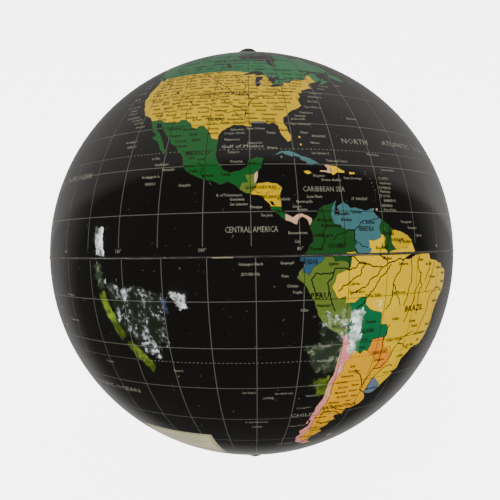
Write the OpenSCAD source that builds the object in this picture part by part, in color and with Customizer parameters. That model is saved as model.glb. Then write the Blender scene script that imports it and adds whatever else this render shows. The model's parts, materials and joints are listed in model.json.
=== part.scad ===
// Desktop globe on a low stand: a printed ball that spins on a tilted axle, held by a half-circle arm.
// Origin: centre of the base, on the desk. +Z is up, and -Y is the side that the viewer stands on.

/* [Ball] */
// Outer diameter of the ball
ball_d = 254; // [200:1:320]
// Thickness of each half shell
shell_t = 1.4; // [1:0.1:2]
// Tilt of the axis away from vertical, towards the back
axis_tilt = 23.5; // [18:0.5:28]
// Height of the ball's centre above the desk, as a multiple of its radius
centre_height_ratio = 1.165; // [1.15:0.005:1.25]

/* [Seam] */
// How far the glue bead stands proud of the ball
bead_proud = 0.6; // [0.3:0.1:0.9]
// Width of the glue bead
bead_w = 1.6; // [1:0.1:3]
// Width of the strap that joins the halves inside
joint_band_w = 16; // [10:1:24]

/* [Axle] */
// Diameter of the axle rod
rod_d = 5; // [4:0.5:6]
// Radial running clearance between the rod and its bushings
running_gap = 0.06; // [0.03:0.01:0.09]
// Gap between the ball and the arm
arm_gap = 2.4; // [2.2:0.1:3]

/* [Arm] */
// Thickness of the arm
arm_t = 3; // [2.5:0.1:4]
// Width of the arm
arm_w = 14; // [12:1:18]
// Chamfer along the arm's edges
arm_chamfer = 0.5; // [0.2:0.1:0.8]

/* [Base] */
// Diameter of the base
base_d = 136; // [130:2:150]
// Height of the base at its centre, felt included
base_h = 14.5; // [13.5:0.5:15.5]
// Height of the base's straight rim above the desk
rim_h = 6; // [5.5:0.5:6.5]
// How far the base's centre stands behind the ball's centre
base_setback = 42; // [38:1:46]
// Thickness of the felt
felt_t = 1.5; // [1:0.1:2]

/* [Hidden] */
$fn = 96;

// Clearance between parts of one body that fit together
fit_gap = 0.04;
// Overrun of a cutting shape
cut = 1;

ball_r = ball_d / 2;
shell_inner_r = ball_r - shell_t;
seam_gap = 0.4;
ball_centre = [0, -base_setback, ball_r * centre_height_ratio];

arm_inner_r = ball_r + arm_gap;
arm_outer_r = arm_inner_r + arm_t;
rod_r = rod_d / 2;
bore_r = rod_r + running_gap;

// Stack along the axle, outside the ball
flange_t = 1;
flange_r = 8;
washer_r = 7;
washer_t = arm_gap - flange_t - 0.2;
cap_r = 5.5;
cap_h = 3;
cap_socket_h = 1.5;
rod_half = arm_outer_r + cap_socket_h;

// Stack along the axle, inside the ball
bushing_r = 4.5;
bushing_l = 10;
plate_r = 20;
plate_t = 3;
plate_top = sqrt(pow(shell_inner_r, 2) - pow(plate_r, 2)) - 0.1;
ring_r = 8;
ring_t = 1.6;

// Where the saddle meets the arm: the angle at the ball's centre, measured from straight down
saddle_angle = asin(base_setback / arm_outer_r);
saddle_r = 11;
screw_spread = 3.2;
screw_r = 1.5;
screw_head_r = 3;
screw_head_h = 1.6;
screw_l = 8;

// Base
base_r = base_d / 2;
dome_r = base_r - 8;
dome_sphere_r = (pow(dome_r, 2) + pow(base_h - rim_h, 2)) / (2 * (base_h - rim_h));
rim_round = 2;
collar_r = 17;
collar_h = 2.6;
collar_bevel = 0.8;
collar_z = base_h - 0.6;
trim_r = dome_r + 1.4;
trim_t = 1.2;
ballast_r = 44;
ballast_z = felt_t + 0.3;
ballast_t = 5;
ballast_top = ballast_z + ballast_t;
well_r = 9;
bolt_r = 3;
bolt_head_r = 5;
bolt_head_h = 3.4;
bolt_washer_r = 8;
bolt_washer_t = 1.2;
bolt_tip = base_h + 4.5;
ballast_screw_ring = 34;
ballast_screw_l = 7.5;
felt_r = base_r - 2;

// Places its children in the ball's own frame: z along the axis to the north pole, y towards the back
module at_ball() {
    translate(ball_centre) rotate([-axis_tilt, 0, 0]) children();
}

// Children are drawn for the north end, and turned over for the south end
module at_pole(north) {
    at_ball() rotate([north ? 0 : 180, 0, 0]) children();
}

// Flat ring from z0 to z0 + h
module ring(outer, inner, h, z0 = 0) {
    translate([0, 0, z0]) difference() {
        cylinder(r = outer, h = h);
        translate([0, 0, -cut]) cylinder(r = inner, h = h + 2 * cut);
    }
}

// One half of the ball, from the seam to the bushing's hole at the pole
module half_shell(north) {
    at_pole(north) difference() {
        sphere(r = ball_r);
        sphere(r = shell_inner_r);
        translate([-ball_d, -ball_d, seam_gap / 2 - 2 * ball_d]) cube(2 * ball_d);
        cylinder(r = bushing_r + fit_gap, h = ball_d);
    }
}

module north_shell() {
    color("khaki") half_shell(true);
}

module south_shell() {
    color("goldenrod") half_shell(false);
}

// Glue that fills the seam and stands proud in a low ridge
module seam_bead() {
    web = seam_gap / 2 - fit_gap;
    proud_r = ball_r + bead_proud;
    color("wheat") at_ball() rotate_extrude($fn = 180) polygon([
        [shell_inner_r, -web], [ball_r + 0.02, -web], [ball_r + 0.02, -bead_w / 2],
        [ball_r + bead_proud * 0.6, -bead_w / 2], [proud_r, -bead_w / 4], [proud_r, bead_w / 4],
        [ball_r + bead_proud * 0.6, bead_w / 2], [ball_r + 0.02, bead_w / 2], [ball_r + 0.02, web],
        [shell_inner_r, web]
    ]);
}

// Strap glued inside, across the seam
module joint_band() {
    color("tan") at_ball() intersection() {
        difference() {
            sphere(r = shell_inner_r - 0.02);
            sphere(r = shell_inner_r - shell_t);
        }
        translate([0, 0, -joint_band_w / 2]) cylinder(r = ball_r, h = joint_band_w);
    }
}

// Flanged nylon bearing that the axle runs in
module bushing(north) {
    color("ivory") at_pole(north) difference() {
        union() {
            translate([0, 0, ball_r - bushing_l]) cylinder(r = bushing_r, h = bushing_l + flange_t / 2);
            translate([0, 0, ball_r]) cylinder(r = flange_r, h = flange_t);
        }
        translate([0, 0, ball_r - bushing_l - cut]) cylinder(r = bore_r, h = bushing_l + flange_t + 2 * cut);
    }
}

module north_bushing() {
    bushing(true);
}

module south_bushing() {
    bushing(false);
}

// Stiffening disc glued inside the shell at the pole
module pole_plate(north) {
    color("burlywood") at_pole(north) ring(plate_r, bushing_r + fit_gap, plate_t, plate_top - plate_t);
}

module north_pole_plate() {
    pole_plate(true);
}

module south_pole_plate() {
    pole_plate(false);
}

// Press ring that keeps the bushing in place
module retaining_ring(north) {
    color("silver") at_pole(north)
        ring(ring_r, bushing_r + fit_gap, ring_t, plate_top - plate_t - ring_t);
}

module north_retaining_ring() {
    retaining_ring(true);
}

module south_retaining_ring() {
    retaining_ring(false);
}

// Radial cutter for one of the arm's screws, drawn in the ball's untilted frame
module at_arm_screw(side) {
    translate(ball_centre) rotate([saddle_angle + side * screw_spread, 0, 0]) rotate([180, 0, 0]) children();
}

// Countersunk screw with its head flush with the arm's inner face
module countersunk(shank, head, head_h, length) {
    cylinder(r1 = head, r2 = shank, h = head_h);
    cylinder(r = shank, h = length);
}

// Half circle from pole to pole, with a round lug at each end for the axle and a flat for its washer
module meridian_arm() {
    half_w = arm_w / 2;
    color("silver") difference() {
        union() {
            at_ball() rotate([0, 90, 0]) rotate_extrude(angle = 180, $fn = 180) polygon([
                [arm_inner_r, -half_w + arm_chamfer], [arm_inner_r + arm_chamfer, -half_w],
                [arm_outer_r - arm_chamfer, -half_w], [arm_outer_r, -half_w + arm_chamfer],
                [arm_outer_r, half_w - arm_chamfer], [arm_outer_r - arm_chamfer, half_w],
                [arm_inner_r + arm_chamfer, half_w], [arm_inner_r, half_w - arm_chamfer]
            ]);
            for (north = [true, false])
                at_pole(north) translate([0, 0, arm_inner_r]) cylinder(r = half_w, h = arm_t);
        }
        for (north = [true, false])
            at_pole(north) translate([0, 0, arm_inner_r - cut]) {
                cylinder(r = rod_r + fit_gap / 2, h = arm_t + 2 * cut);
                cylinder(r = washer_r + 0.3, h = cut);
            }
        for (side = [-1, 1])
            at_arm_screw(side) translate([0, 0, arm_inner_r])
                countersunk(screw_r + fit_gap, screw_head_r + fit_gap, screw_head_h, screw_l + cut);
    }
}

// Steel rod from cap to cap, right through the ball
module axle_rod() {
    color("gainsboro") at_ball() translate([0, 0, -rod_half]) cylinder(r = rod_r, h = 2 * rod_half);
}

// Domed cap pressed on the end of the rod
module axle_cap(north) {
    dome_r1 = (pow(cap_r, 2) + pow(cap_h - 1, 2)) / (2 * (cap_h - 1));
    color("silver") at_pole(north) translate([0, 0, arm_outer_r]) difference() {
        union() {
            cylinder(r = cap_r, h = 1);
            intersection() {
                translate([0, 0, cap_h - dome_r1]) sphere(r = dome_r1);
                translate([0, 0, 1]) cylinder(r = cap_r, h = cap_h);
            }
        }
        translate([0, 0, -cut]) cylinder(r = rod_r + fit_gap / 2, h = cap_socket_h + cut);
    }
}

module north_axle_cap() {
    axle_cap(true);
}

module south_axle_cap() {
    axle_cap(false);
}

// Washer that rests on the arm and carries the bushing's flange
module thrust_washer(north) {
    color("white") at_pole(north) ring(washer_r, rod_r + fit_gap / 2, washer_t, arm_inner_r - washer_t);
}

module north_thrust_washer() {
    thrust_washer(true);
}

module south_thrust_washer() {
    thrust_washer(false);
}

// Turned block that carries the arm: its top is hollowed to the arm's outer curve
module arm_saddle() {
    color("silver") difference() {
        translate([0, 0, base_h]) cylinder(r = saddle_r, h = ball_r);
        translate(ball_centre) rotate([0, 90, 0])
            cylinder(r = arm_outer_r + 0.01, h = ball_d, center = true, $fn = 180);
        translate([0, 0, base_h - cut]) cylinder(r = bolt_r + fit_gap, h = bolt_tip - base_h + cut + 0.3);
        for (side = [-1, 1])
            at_arm_screw(side) cylinder(r = screw_r + fit_gap, h = arm_inner_r + screw_l + 0.3);
    }
}

// Metal collar round the saddle's foot, let into the top of the base
module saddle_collar() {
    color("silver") difference() {
        union() {
            translate([0, 0, collar_z]) cylinder(r = collar_r, h = collar_h - collar_bevel);
            translate([0, 0, collar_z + collar_h - collar_bevel])
                cylinder(r1 = collar_r, r2 = collar_r - collar_bevel, h = collar_bevel);
        }
        translate([0, 0, collar_z - cut]) cylinder(r = saddle_r + fit_gap, h = collar_h + 2 * cut);
    }
}

// Two screws that hold the arm to the saddle
module arm_screws() {
    color("gainsboro") for (side = [-1, 1])
        at_arm_screw(side) translate([0, 0, arm_inner_r + 0.02]) difference() {
            countersunk(screw_r, screw_head_r, screw_head_h, screw_l);
            translate([-0.4, -screw_head_r, -cut]) cube([0.8, 2 * screw_head_r, cut + 0.7]);
        }
}

// Hexagon-head bolt from under the base into the saddle
module saddle_bolt() {
    head_z = ballast_top - bolt_washer_t - bolt_head_h;
    color("gainsboro") {
        translate([0, 0, head_z]) cylinder(r = bolt_head_r, h = bolt_head_h, $fn = 6);
        translate([0, 0, head_z]) cylinder(r = bolt_r, h = bolt_tip - head_z);
    }
}

module bolt_washer() {
    color("gainsboro") ring(bolt_washer_r, bolt_r + fit_gap, bolt_washer_t, ballast_top - bolt_washer_t);
}

// Low dome above a rim with a rounded top edge
module base_profile() {
    intersection() {
        translate([0, 0, base_h - dome_sphere_r]) sphere(r = dome_sphere_r, $fn = 180);
        translate([0, 0, felt_t]) cylinder(r = dome_r, h = base_h);
    }
    translate([0, 0, felt_t]) cylinder(r = base_r - rim_round, h = rim_h - felt_t, $fn = 180);
    translate([0, 0, felt_t]) cylinder(r = base_r, h = rim_h - felt_t - rim_round, $fn = 180);
    translate([0, 0, rim_h - rim_round]) rotate_extrude($fn = 180)
        translate([base_r - rim_round, 0]) circle(r = rim_round, $fn = 48);
}

// Turned wooden base, hollowed underneath for the ballast
module base_disc() {
    color("saddlebrown") difference() {
        base_profile();
        translate([0, 0, felt_t - cut]) cylinder(r = ballast_r + 0.5, h = ballast_top - felt_t + cut);
        cylinder(r = bolt_r + 0.3, h = 2 * base_h);
        translate([0, 0, collar_z]) cylinder(r = collar_r + fit_gap, h = base_h);
        ring(trim_r + trim_t + fit_gap, trim_r - fit_gap, base_h, rim_h - trim_t);
        for (a = [0:120:240])
            rotate([0, 0, a]) translate([ballast_screw_ring, 0, ballast_z])
                cylinder(r = screw_r + fit_gap, h = ballast_screw_l + 0.3);
    }
    color("saddlebrown") ring(saddle_r - 0.5, bolt_r + 0.3, base_h - collar_z, collar_z);
}

// Metal ring let into the step between the dome and the rim
module base_trim_ring() {
    color("silver") ring(trim_r + trim_t, trim_r, trim_t + 0.5, rim_h - trim_t);
}

// Steel disc that keeps the globe from tipping
module ballast_plate() {
    color("dimgray") difference() {
        ring(ballast_r, well_r, ballast_t, ballast_z);
        for (a = [0:120:240])
            rotate([0, 0, a]) translate([ballast_screw_ring, 0, ballast_z - 0.02])
                countersunk(screw_r + 0.2, screw_head_r + 0.2, screw_head_h, ballast_t + cut);
    }
}

module ballast_screws() {
    color("gainsboro") for (a = [0:120:240])
        rotate([0, 0, a]) translate([ballast_screw_ring, 0, ballast_z])
            countersunk(screw_r, screw_head_r, screw_head_h, ballast_screw_l);
}

module felt_pad() {
    color("darkgreen") cylinder(r = felt_r, h = felt_t);
}

north_shell();
south_shell();
seam_bead();
joint_band();
north_bushing();
south_bushing();
north_pole_plate();
south_pole_plate();
north_retaining_ring();
south_retaining_ring();
meridian_arm();
axle_rod();
north_axle_cap();
south_axle_cap();
north_thrust_washer();
south_thrust_washer();
arm_saddle();
saddle_collar();
arm_screws();
saddle_bolt();
bolt_washer();
base_disc();
base_trim_ring();
ballast_plate();
ballast_screws();
felt_pad();
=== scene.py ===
"""Looks of the desktop globe: printed ball, seam, metal arm, wooden base, light and camera."""
import json
import math
import random

import bpy
import numpy as np
from mathutils import Matrix, Vector, geometry


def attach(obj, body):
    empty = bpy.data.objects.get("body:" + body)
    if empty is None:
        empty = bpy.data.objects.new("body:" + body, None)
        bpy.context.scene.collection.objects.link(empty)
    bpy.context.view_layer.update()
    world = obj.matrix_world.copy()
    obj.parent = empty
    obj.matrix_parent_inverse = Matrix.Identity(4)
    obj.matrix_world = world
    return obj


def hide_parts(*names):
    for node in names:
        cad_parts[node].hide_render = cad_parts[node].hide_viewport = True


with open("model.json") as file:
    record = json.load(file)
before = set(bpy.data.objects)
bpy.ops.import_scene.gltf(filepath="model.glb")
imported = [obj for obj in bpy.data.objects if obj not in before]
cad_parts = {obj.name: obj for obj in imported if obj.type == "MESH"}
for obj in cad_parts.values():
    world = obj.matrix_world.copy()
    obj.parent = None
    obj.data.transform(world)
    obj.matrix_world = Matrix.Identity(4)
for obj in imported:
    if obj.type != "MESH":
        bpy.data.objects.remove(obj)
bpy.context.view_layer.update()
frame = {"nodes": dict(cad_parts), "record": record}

MM = 0.001

# ---------------------------------------------------------------- the ball's own frame
SPIN = next(j for j in frame["record"]["behaviour"]["joints"] if j["name"] == "ball_spin")
CENTRE = Vector(SPIN["pos_m"])
AXIS = Vector(SPIN["axis"]).normalized()
RIGHT = Vector((1, 0, 0))
FRONT = RIGHT.cross(AXIS)
BALL_FRAME = np.array([FRONT, RIGHT, AXIS])
# The meridian that faces the camera at rest
FRONT_LON = -90.0

BALL_R = 127 * MM
PRINT_R = BALL_R - 0.1 * MM
INNER_R = BALL_R - 1.4 * MM
SEAM_HALF = 0.2 * MM
POLE_HOLE_R = 4.54 * MM
LINE_LIFT = 0.03 * MM
LABEL_LIFT = 0.045 * MM
EDGE_LAT = math.degrees(SEAM_HALF / BALL_R)
HOLE_ANGLE = math.degrees(POLE_HOLE_R / BALL_R)
# Length of one degree on the ball, in millimetres
DEGREE_MM = math.radians(1) * BALL_R / MM
# How far the southern print is turned against the northern one, in degrees
SOUTH_TWIST = 0.81
# Shift of the print in latitude, which fades out towards the pole: at the equator, per degree of latitude,
# and per degree squared
PRINT_SHIFT = (-1.14, 0.0169, 0.00049)
# Countries are cut out of this many lands, which come first in the list
MAINLANDS = 6

# ---------------------------------------------------------------- outlines, as "longitude latitude" pairs
# Where a text holds several outlines, a semicolon parts them
AMERICAS = """
-141 69.6, -148.5 70.4, -156.7 71.3, -163 69.6, -166.4 68.4, -161.9 66.4, -168.1 65.6, -161 64.5,
-161 63.4, -164.6 63.1, -165.8 61.5, -164.5 60, -162 58.7, -157.3 58.6, -157.7 57.5, -161 55.8,
-164.8 54.6, -159.5 55.8, -156.4 57.3, -153.4 59.3, -151.5 61.2, -151.9 59.2, -148 60.3, -144 60,
-139.5 59.6, -136.5 58.2, -133.5 57.2, -130.8 55.4, -130.3 54.2, -128 52.3, -127.2 51, -124.5 50,
-123.1 49.3, -122.5 48.3, -122.5 47.3, -123.1 48.1, -124.7 48.4, -124.1 46.9, -124.1 44.6,
-124.5 42.8, -124.1 41.5, -124.4 40.4, -123.8 39.3, -122.5 37.7, -121.9 36.5, -120.6 34.6,
-119.2 34.1, -117.9 33.5, -117.1 32.5, -116.6 31.6, -115.7 29.7, -114.3 28.7, -114 28, -115 27.8,
-113.2 26.6, -112.2 25.4, -112 24.6, -110.3 23.4, -109.9 22.9, -109.4 23.4, -110.4 24.3,
-111.3 26, -112.8 28.2, -114.6 30.1, -114.8 31.7, -113.4 31.2, -112.4 29.5, -111.1 28,
-109.6 26.7, -109.2 25.7, -107.5 24.5, -106.3 23.1, -105.5 21.9, -105.3 20.6, -105.6 20.2,
-104.4 19.1, -102.3 17.9, -99.9 16.8, -96.6 15.7, -94.9 16.3, -93.6 15.7, -92.3 14.6, -91.2 13.9,
-89.3 13.4, -87.8 13.2, -87.4 12.8, -85.9 11.3, -85.8 10.3, -84.9 9.8, -83.6 8.7, -82.9 8.2,
-81.6 7.8, -80.5 7.3, -80.3 8.2, -79.5 8.9, -78.3 8.3, -77.9 7.2, -77.4 5.8, -77.2 3.9, -78.7 1.9,
-80 0.7, -80.6 -0.8, -80.9 -2.1, -79.9 -2.3, -79.9 -3.2, -81.2 -4.3, -81.1 -5.9, -79.8 -7,
-78.5 -9.2, -77.1 -12, -76.3 -13.8, -75.2 -15.4, -72.4 -17, -70.4 -18.4, -70.1 -20.2, -70.5 -23.5,
-70.7 -25.6, -71.3 -28.6, -71.6 -30.9, -71.7 -33.2, -73.1 -36.8, -73.4 -39.2, -73.8 -41.6,
-72.8 -42.1, -73 -44.2, -75.3 -46.6, -74.3 -47.8, -75.4 -50, -74.2 -52.8, -71.6 -53.9, -70.8 -52.8,
-68.5 -52.3, -69.1 -50.8, -67.6 -49.8, -65.8 -47.9, -67.5 -46.1, -65.5 -44.9, -65.1 -43.3,
-63.6 -42.6, -65 -41.9, -65 -40.8, -62.4 -40.9, -62.2 -38.9, -57.6 -38.1, -56.7 -36.5, -57.2 -35.5,
-58.4 -34.4, -57.9 -34.4, -56.2 -34.9, -54.9 -34.9, -53.6 -34, -52.2 -32.2, -50.2 -30.2,
-48.7 -28.4, -48.6 -25.9, -46.4 -24, -44.6 -23.1, -41.9 -22.9, -40.8 -21.6, -39.7 -19.5,
-39.1 -17.2, -38.9 -14, -37.4 -11.6, -35.3 -9.3, -34.8 -7.2, -35.3 -5.3, -37.1 -4.9, -38.6 -3.6,
-41.4 -2.9, -44.3 -2.6, -44.9 -1.3, -48 -0.8, -48.6 -1.6, -48.9 -0.4, -50.5 -0.1, -51 -1.1,
-50.2 1.6, -51.2 4, -52.5 5, -55.2 5.9,
-57.2 6.1, -58.7 7.4, -60.9 8.6, -62.3 9.9, -62 10.7, -64.6 10.2, -66.2 10.6, -68.3 10.7,
-68.6 11.3, -70 12.1, -70.3 11.6, -71.5 10.9, -71 9.4, -72.1 9.6, -71.8 11.1, -71.4 12.3,
-73.1 11.4, -74.9 11, -75.6 10.3, -76 9.2, -76.9 8.1, -77.5 8.7, -79.4 9.6, -81.4 8.8, -82.5 9.4,
-83.6 10.7, -83.7 12.4, -83.2 14.9, -84.5 15.8, -87.5 15.9, -88.8 15.8, -88.3 17.2, -88.3 18.4,
-87.5 19.1, -86.9 21.3, -88.2 21.6, -90.3 21.1, -90.8 19.3, -92.5 18.6, -94.2 18.2, -95.9 18.9,
-97.2 20.8, -97.8 22.6, -97.5 24.8, -97.3 27.2, -95.4 28.9, -93.8 29.7, -91.8 29.6, -90.6 29.1,
-89.2 29.1, -89.5 30.3, -86.4 30.4, -85.3 29.7, -84 30.1, -82.8 29.2, -82.7 27.8, -81.8 26.2,
-81.1 25.2, -80.3 25.4, -80 26.8, -81.3 29.8, -81.2 31.6, -79.4 33.1, -77.9 33.9, -76.5 34.7,
-75.6 35.3, -76 37, -76.4 38.6, -75.9 37.3, -75.1 38.6, -75.4 39.4, -74.2 39.6, -74 40.6,
-71.9 41.3, -70 41.7, -70.7 42.6, -69.9 43.8, -67 44.7, -64.7 45.8, -64.4 45.3, -66 44.3,
-65.5 43.6, -63.6 44.5, -60.2 46.1, -61.5 45.8, -64.2 46.2, -65 47.6, -64.3 48.8, -66.5 49.1,
-71 46.9, -69.5 48.2, -67 49.7, -63 50.3, -60 50.2, -57.2 51.5, -55.7 52.6, -57.5 54.6,
-61.4 56.6, -62.7 58.7, -64.5 60.3, -66.2 58.8, -69.7 59, -70 61, -74.5 62.3, -77.8 62.5,
-77.5 60, -78.5 58.7, -76.7 56.8, -79.5 54.3, -78.9 51.7, -80.5 51.3, -82.2 53.1, -82.3 55.1,
-85 55.3, -88.5 56.7, -92.5 57.1, -94.6 58.9, -94.6 60.3, -90.8 63.3, -93 64, -88 64.2,
-86 66.3, -81.5 67.2, -81.6 69.3, -85.3 69.7, -85.5 68.5, -88.2 67.6, -91.5 69.5, -94.4 71.9,
-96.3 70.4, -95 68.9, -97.5 67.9, -108 67.7, -108.2 66.6, -110.5 67.9, -115.2 67.9, -116 68.9,
-124 69.4, -128.5 70.3, -135 69.3
"""
EURASIA = """
-5.6 36, -9 37, -9.4 38.8, -8.8 41.5, -9.2 43.1, -1.8 43.4, -1.2 45.8, -4.7 48.3, -1.5 48.7,
1.6 50.9, 4.5 52.3, 8.5 53.7, 8.2 57, 10.6 57.7, 11 54.2, 14.2 53.9, 18.8 54.6, 21.2 55.3,
22 57.6, 24.3 57.8, 23.5 59.2, 29 59.9, 25 60.3, 22 60.6, 21.3 63, 25.3 65.2, 22 65.7, 17.3 61.5,
18.8 60, 16.5 57, 14.3 55.5, 12.8 56, 11 59, 7.5 58, 5.2 59.5, 5 62, 11 64.5, 14.5 68, 19 70,
25.8 71.1, 31 70.3, 41 67, 35 66.6, 34.5 64.6, 38 64, 44 66.2, 44 68.3, 53.5 68.8, 60.5 69.7,
68.3 68.3, 67 71.5, 69.5 72.9, 73 71.5, 73.8 68.8, 74.5 72, 80.5 72.1, 87 75, 104.3 77.7,
113 76, 113.5 73.5, 129 71.2, 140.5 72.7, 160 69.7, 170.5 69, 180 68.9, 190 66, 181 64.5,
179.5 62.6, 170.5 60, 163 58, 162.5 56.2, 156.8 51, 155.6 55.5, 162 60.5, 155 59.4, 143 59.3,
135.2 54.7, 141.3 53, 140.3 48.5, 135.5 44.3, 131.8 43.2, 129.7 41, 127.5 39.6, 129.4 37,
129 35.2, 126.4 34.5, 126.7 37.2, 124.8 39.7, 121.5 39, 121.5 40.8, 118 39, 122.5 37.3,
119.3 35, 121.8 31.8, 121.8 29, 119 25.5, 114.2 22.3, 110.4 21.2, 108 21.6, 105.8 19,
109.2 13.5, 109 11.5, 105 8.7, 104.9 10.3, 102.3 12.2, 100.9 13.4, 99.9 11, 100.8 7.2, 103.3 4,
104.2 1.4, 101.3 3, 98.3 8, 98.7 11.5, 97.6 16.4, 94.4 16, 94.3 19, 91.5 22.6, 88.5 21.7,
86.9 20.6, 82.2 16.6, 80.2 15, 79.8 10.3, 77.5 8.1, 76.3 10, 73 17.5, 72.8 21, 70.5 20.8,
69 22.4, 66.7 25.3, 61.5 25.1, 57 27, 54 26.6, 50.5 29.8, 48.2 30, 48.2 28.8, 50.2 26.5,
51.5 24.7, 54.5 24.2, 56.3 26.3, 59.8 22.4, 57.5 18.8, 52.2 15.6, 45 12.8, 43.3 12.8, 42.8 16.5,
39 21.3, 35 28, 34.7 29.4, 32.6 29.9, 34.3 31.3, 36 36.8, 30.5 36.5, 27.5 36.8, 26.3 39.3,
29.5 41, 35 42, 41.5 41.5, 37.2 44.9, 38.5 47, 35 46.3, 33.5 44.5, 30.8 46.4, 28.7 44, 28.9 41.2,
26 40.7, 23 40.3, 24 38, 22.8 36.6, 21.2 38, 19.4 41.5, 15.2 44.2, 13.5 45.6, 12.3 44.5, 14 42.5,
18.4 40.1, 16.8 39.5, 15.8 38, 12.5 41.5, 8.8 44.4, 4 43.4, 3.2 42, -0.3 39, -2 36.8
"""
AFRICA = """
-5.9 35.8, -1 35.3, 3 36.9, 10 37.3, 11 35, 10.2 34, 15 32.3, 19 30.3, 20 32.8, 25 31.6, 29 30.9,
32.3 31.3, 32.6 29.9, 34 26.5, 35.5 24, 37.2 21, 37.4 18.7, 39.5 15.5, 43.2 12.3, 43.3 11.5,
51.2 11.9, 50.8 9.5, 47.5 4.5, 42.5 -1, 40.2 -2.8, 38.8 -6.3, 39.5 -8.5, 40.6 -10.7, 40.6 -15,
36.9 -17.9, 34.8 -20, 35.4 -23.8, 32.8 -25.6, 32.5 -28.3, 30 -31.3, 25.7 -34, 20 -34.8, 18.4 -34,
18.2 -32, 15.2 -27, 14.5 -22.5, 11.8 -17, 13.7 -11, 12.2 -6, 9 -1, 9.5 3.9, 8.5 4.6, 5 5.8,
1 5.9, -4 5.2, -7.5 4.4, -12.5 7.4, -15 11, -16.8 13.2, -17.4 14.7, -16.3 19, -17 21, -14.5 26.2,
-9.8 29.6, -9.8 31.5, -6.8 34
"""
GREENLAND = """
-73 78.2, -60 82, -45 82.8, -32 83.6, -12 81.4, -19 77.5, -20 75, -22.5 70.4, -26 68.5, -32 68,
-38 65.7, -40.5 64.5, -43 60.1, -48 61, -51.5 64, -53.5 67, -51 69.5, -54.5 71.5, -58 75.5, -68 76.1
"""
AUSTRALIA = """
113.7 -22.5, 114 -26.5, 115.7 -32, 115 -34.3, 118 -35, 123.7 -34, 126 -32.3, 131 -31.5, 134.2 -32.7,
136 -34.8, 137.8 -33, 138.5 -35.6, 140.5 -38, 144 -38.6, 146.4 -39, 150 -37.3, 151.5 -33, 153.5 -28.5,
152.8 -25, 149 -20.5, 146 -18.8, 145.3 -15, 142.6 -10.8, 141.5 -13.5, 140.8 -17.4, 137 -16, 136.8 -12.2,
132.6 -11.3, 130 -13.5, 129 -15, 126 -14, 122.3 -17.8, 119 -20
"""
ANTARCTICA = """
-180 -78.4, -165 -78.5, -150 -77, -135 -74.5, -115 -74, -100 -72.5, -80 -73.2, -70 -72, -67 -67.5,
-58 -63.3, -61 -66.5, -61 -74, -50 -78, -35 -78, -25 -75, -10 -71, 10 -70, 35 -69, 50 -67, 57 -66.3,
70 -68, 76 -69.5, 90 -66.5, 110 -66, 130 -66.3, 145 -67, 160 -69.5, 170 -71.5, 164 -77.5, 180 -78.3
"""
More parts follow.
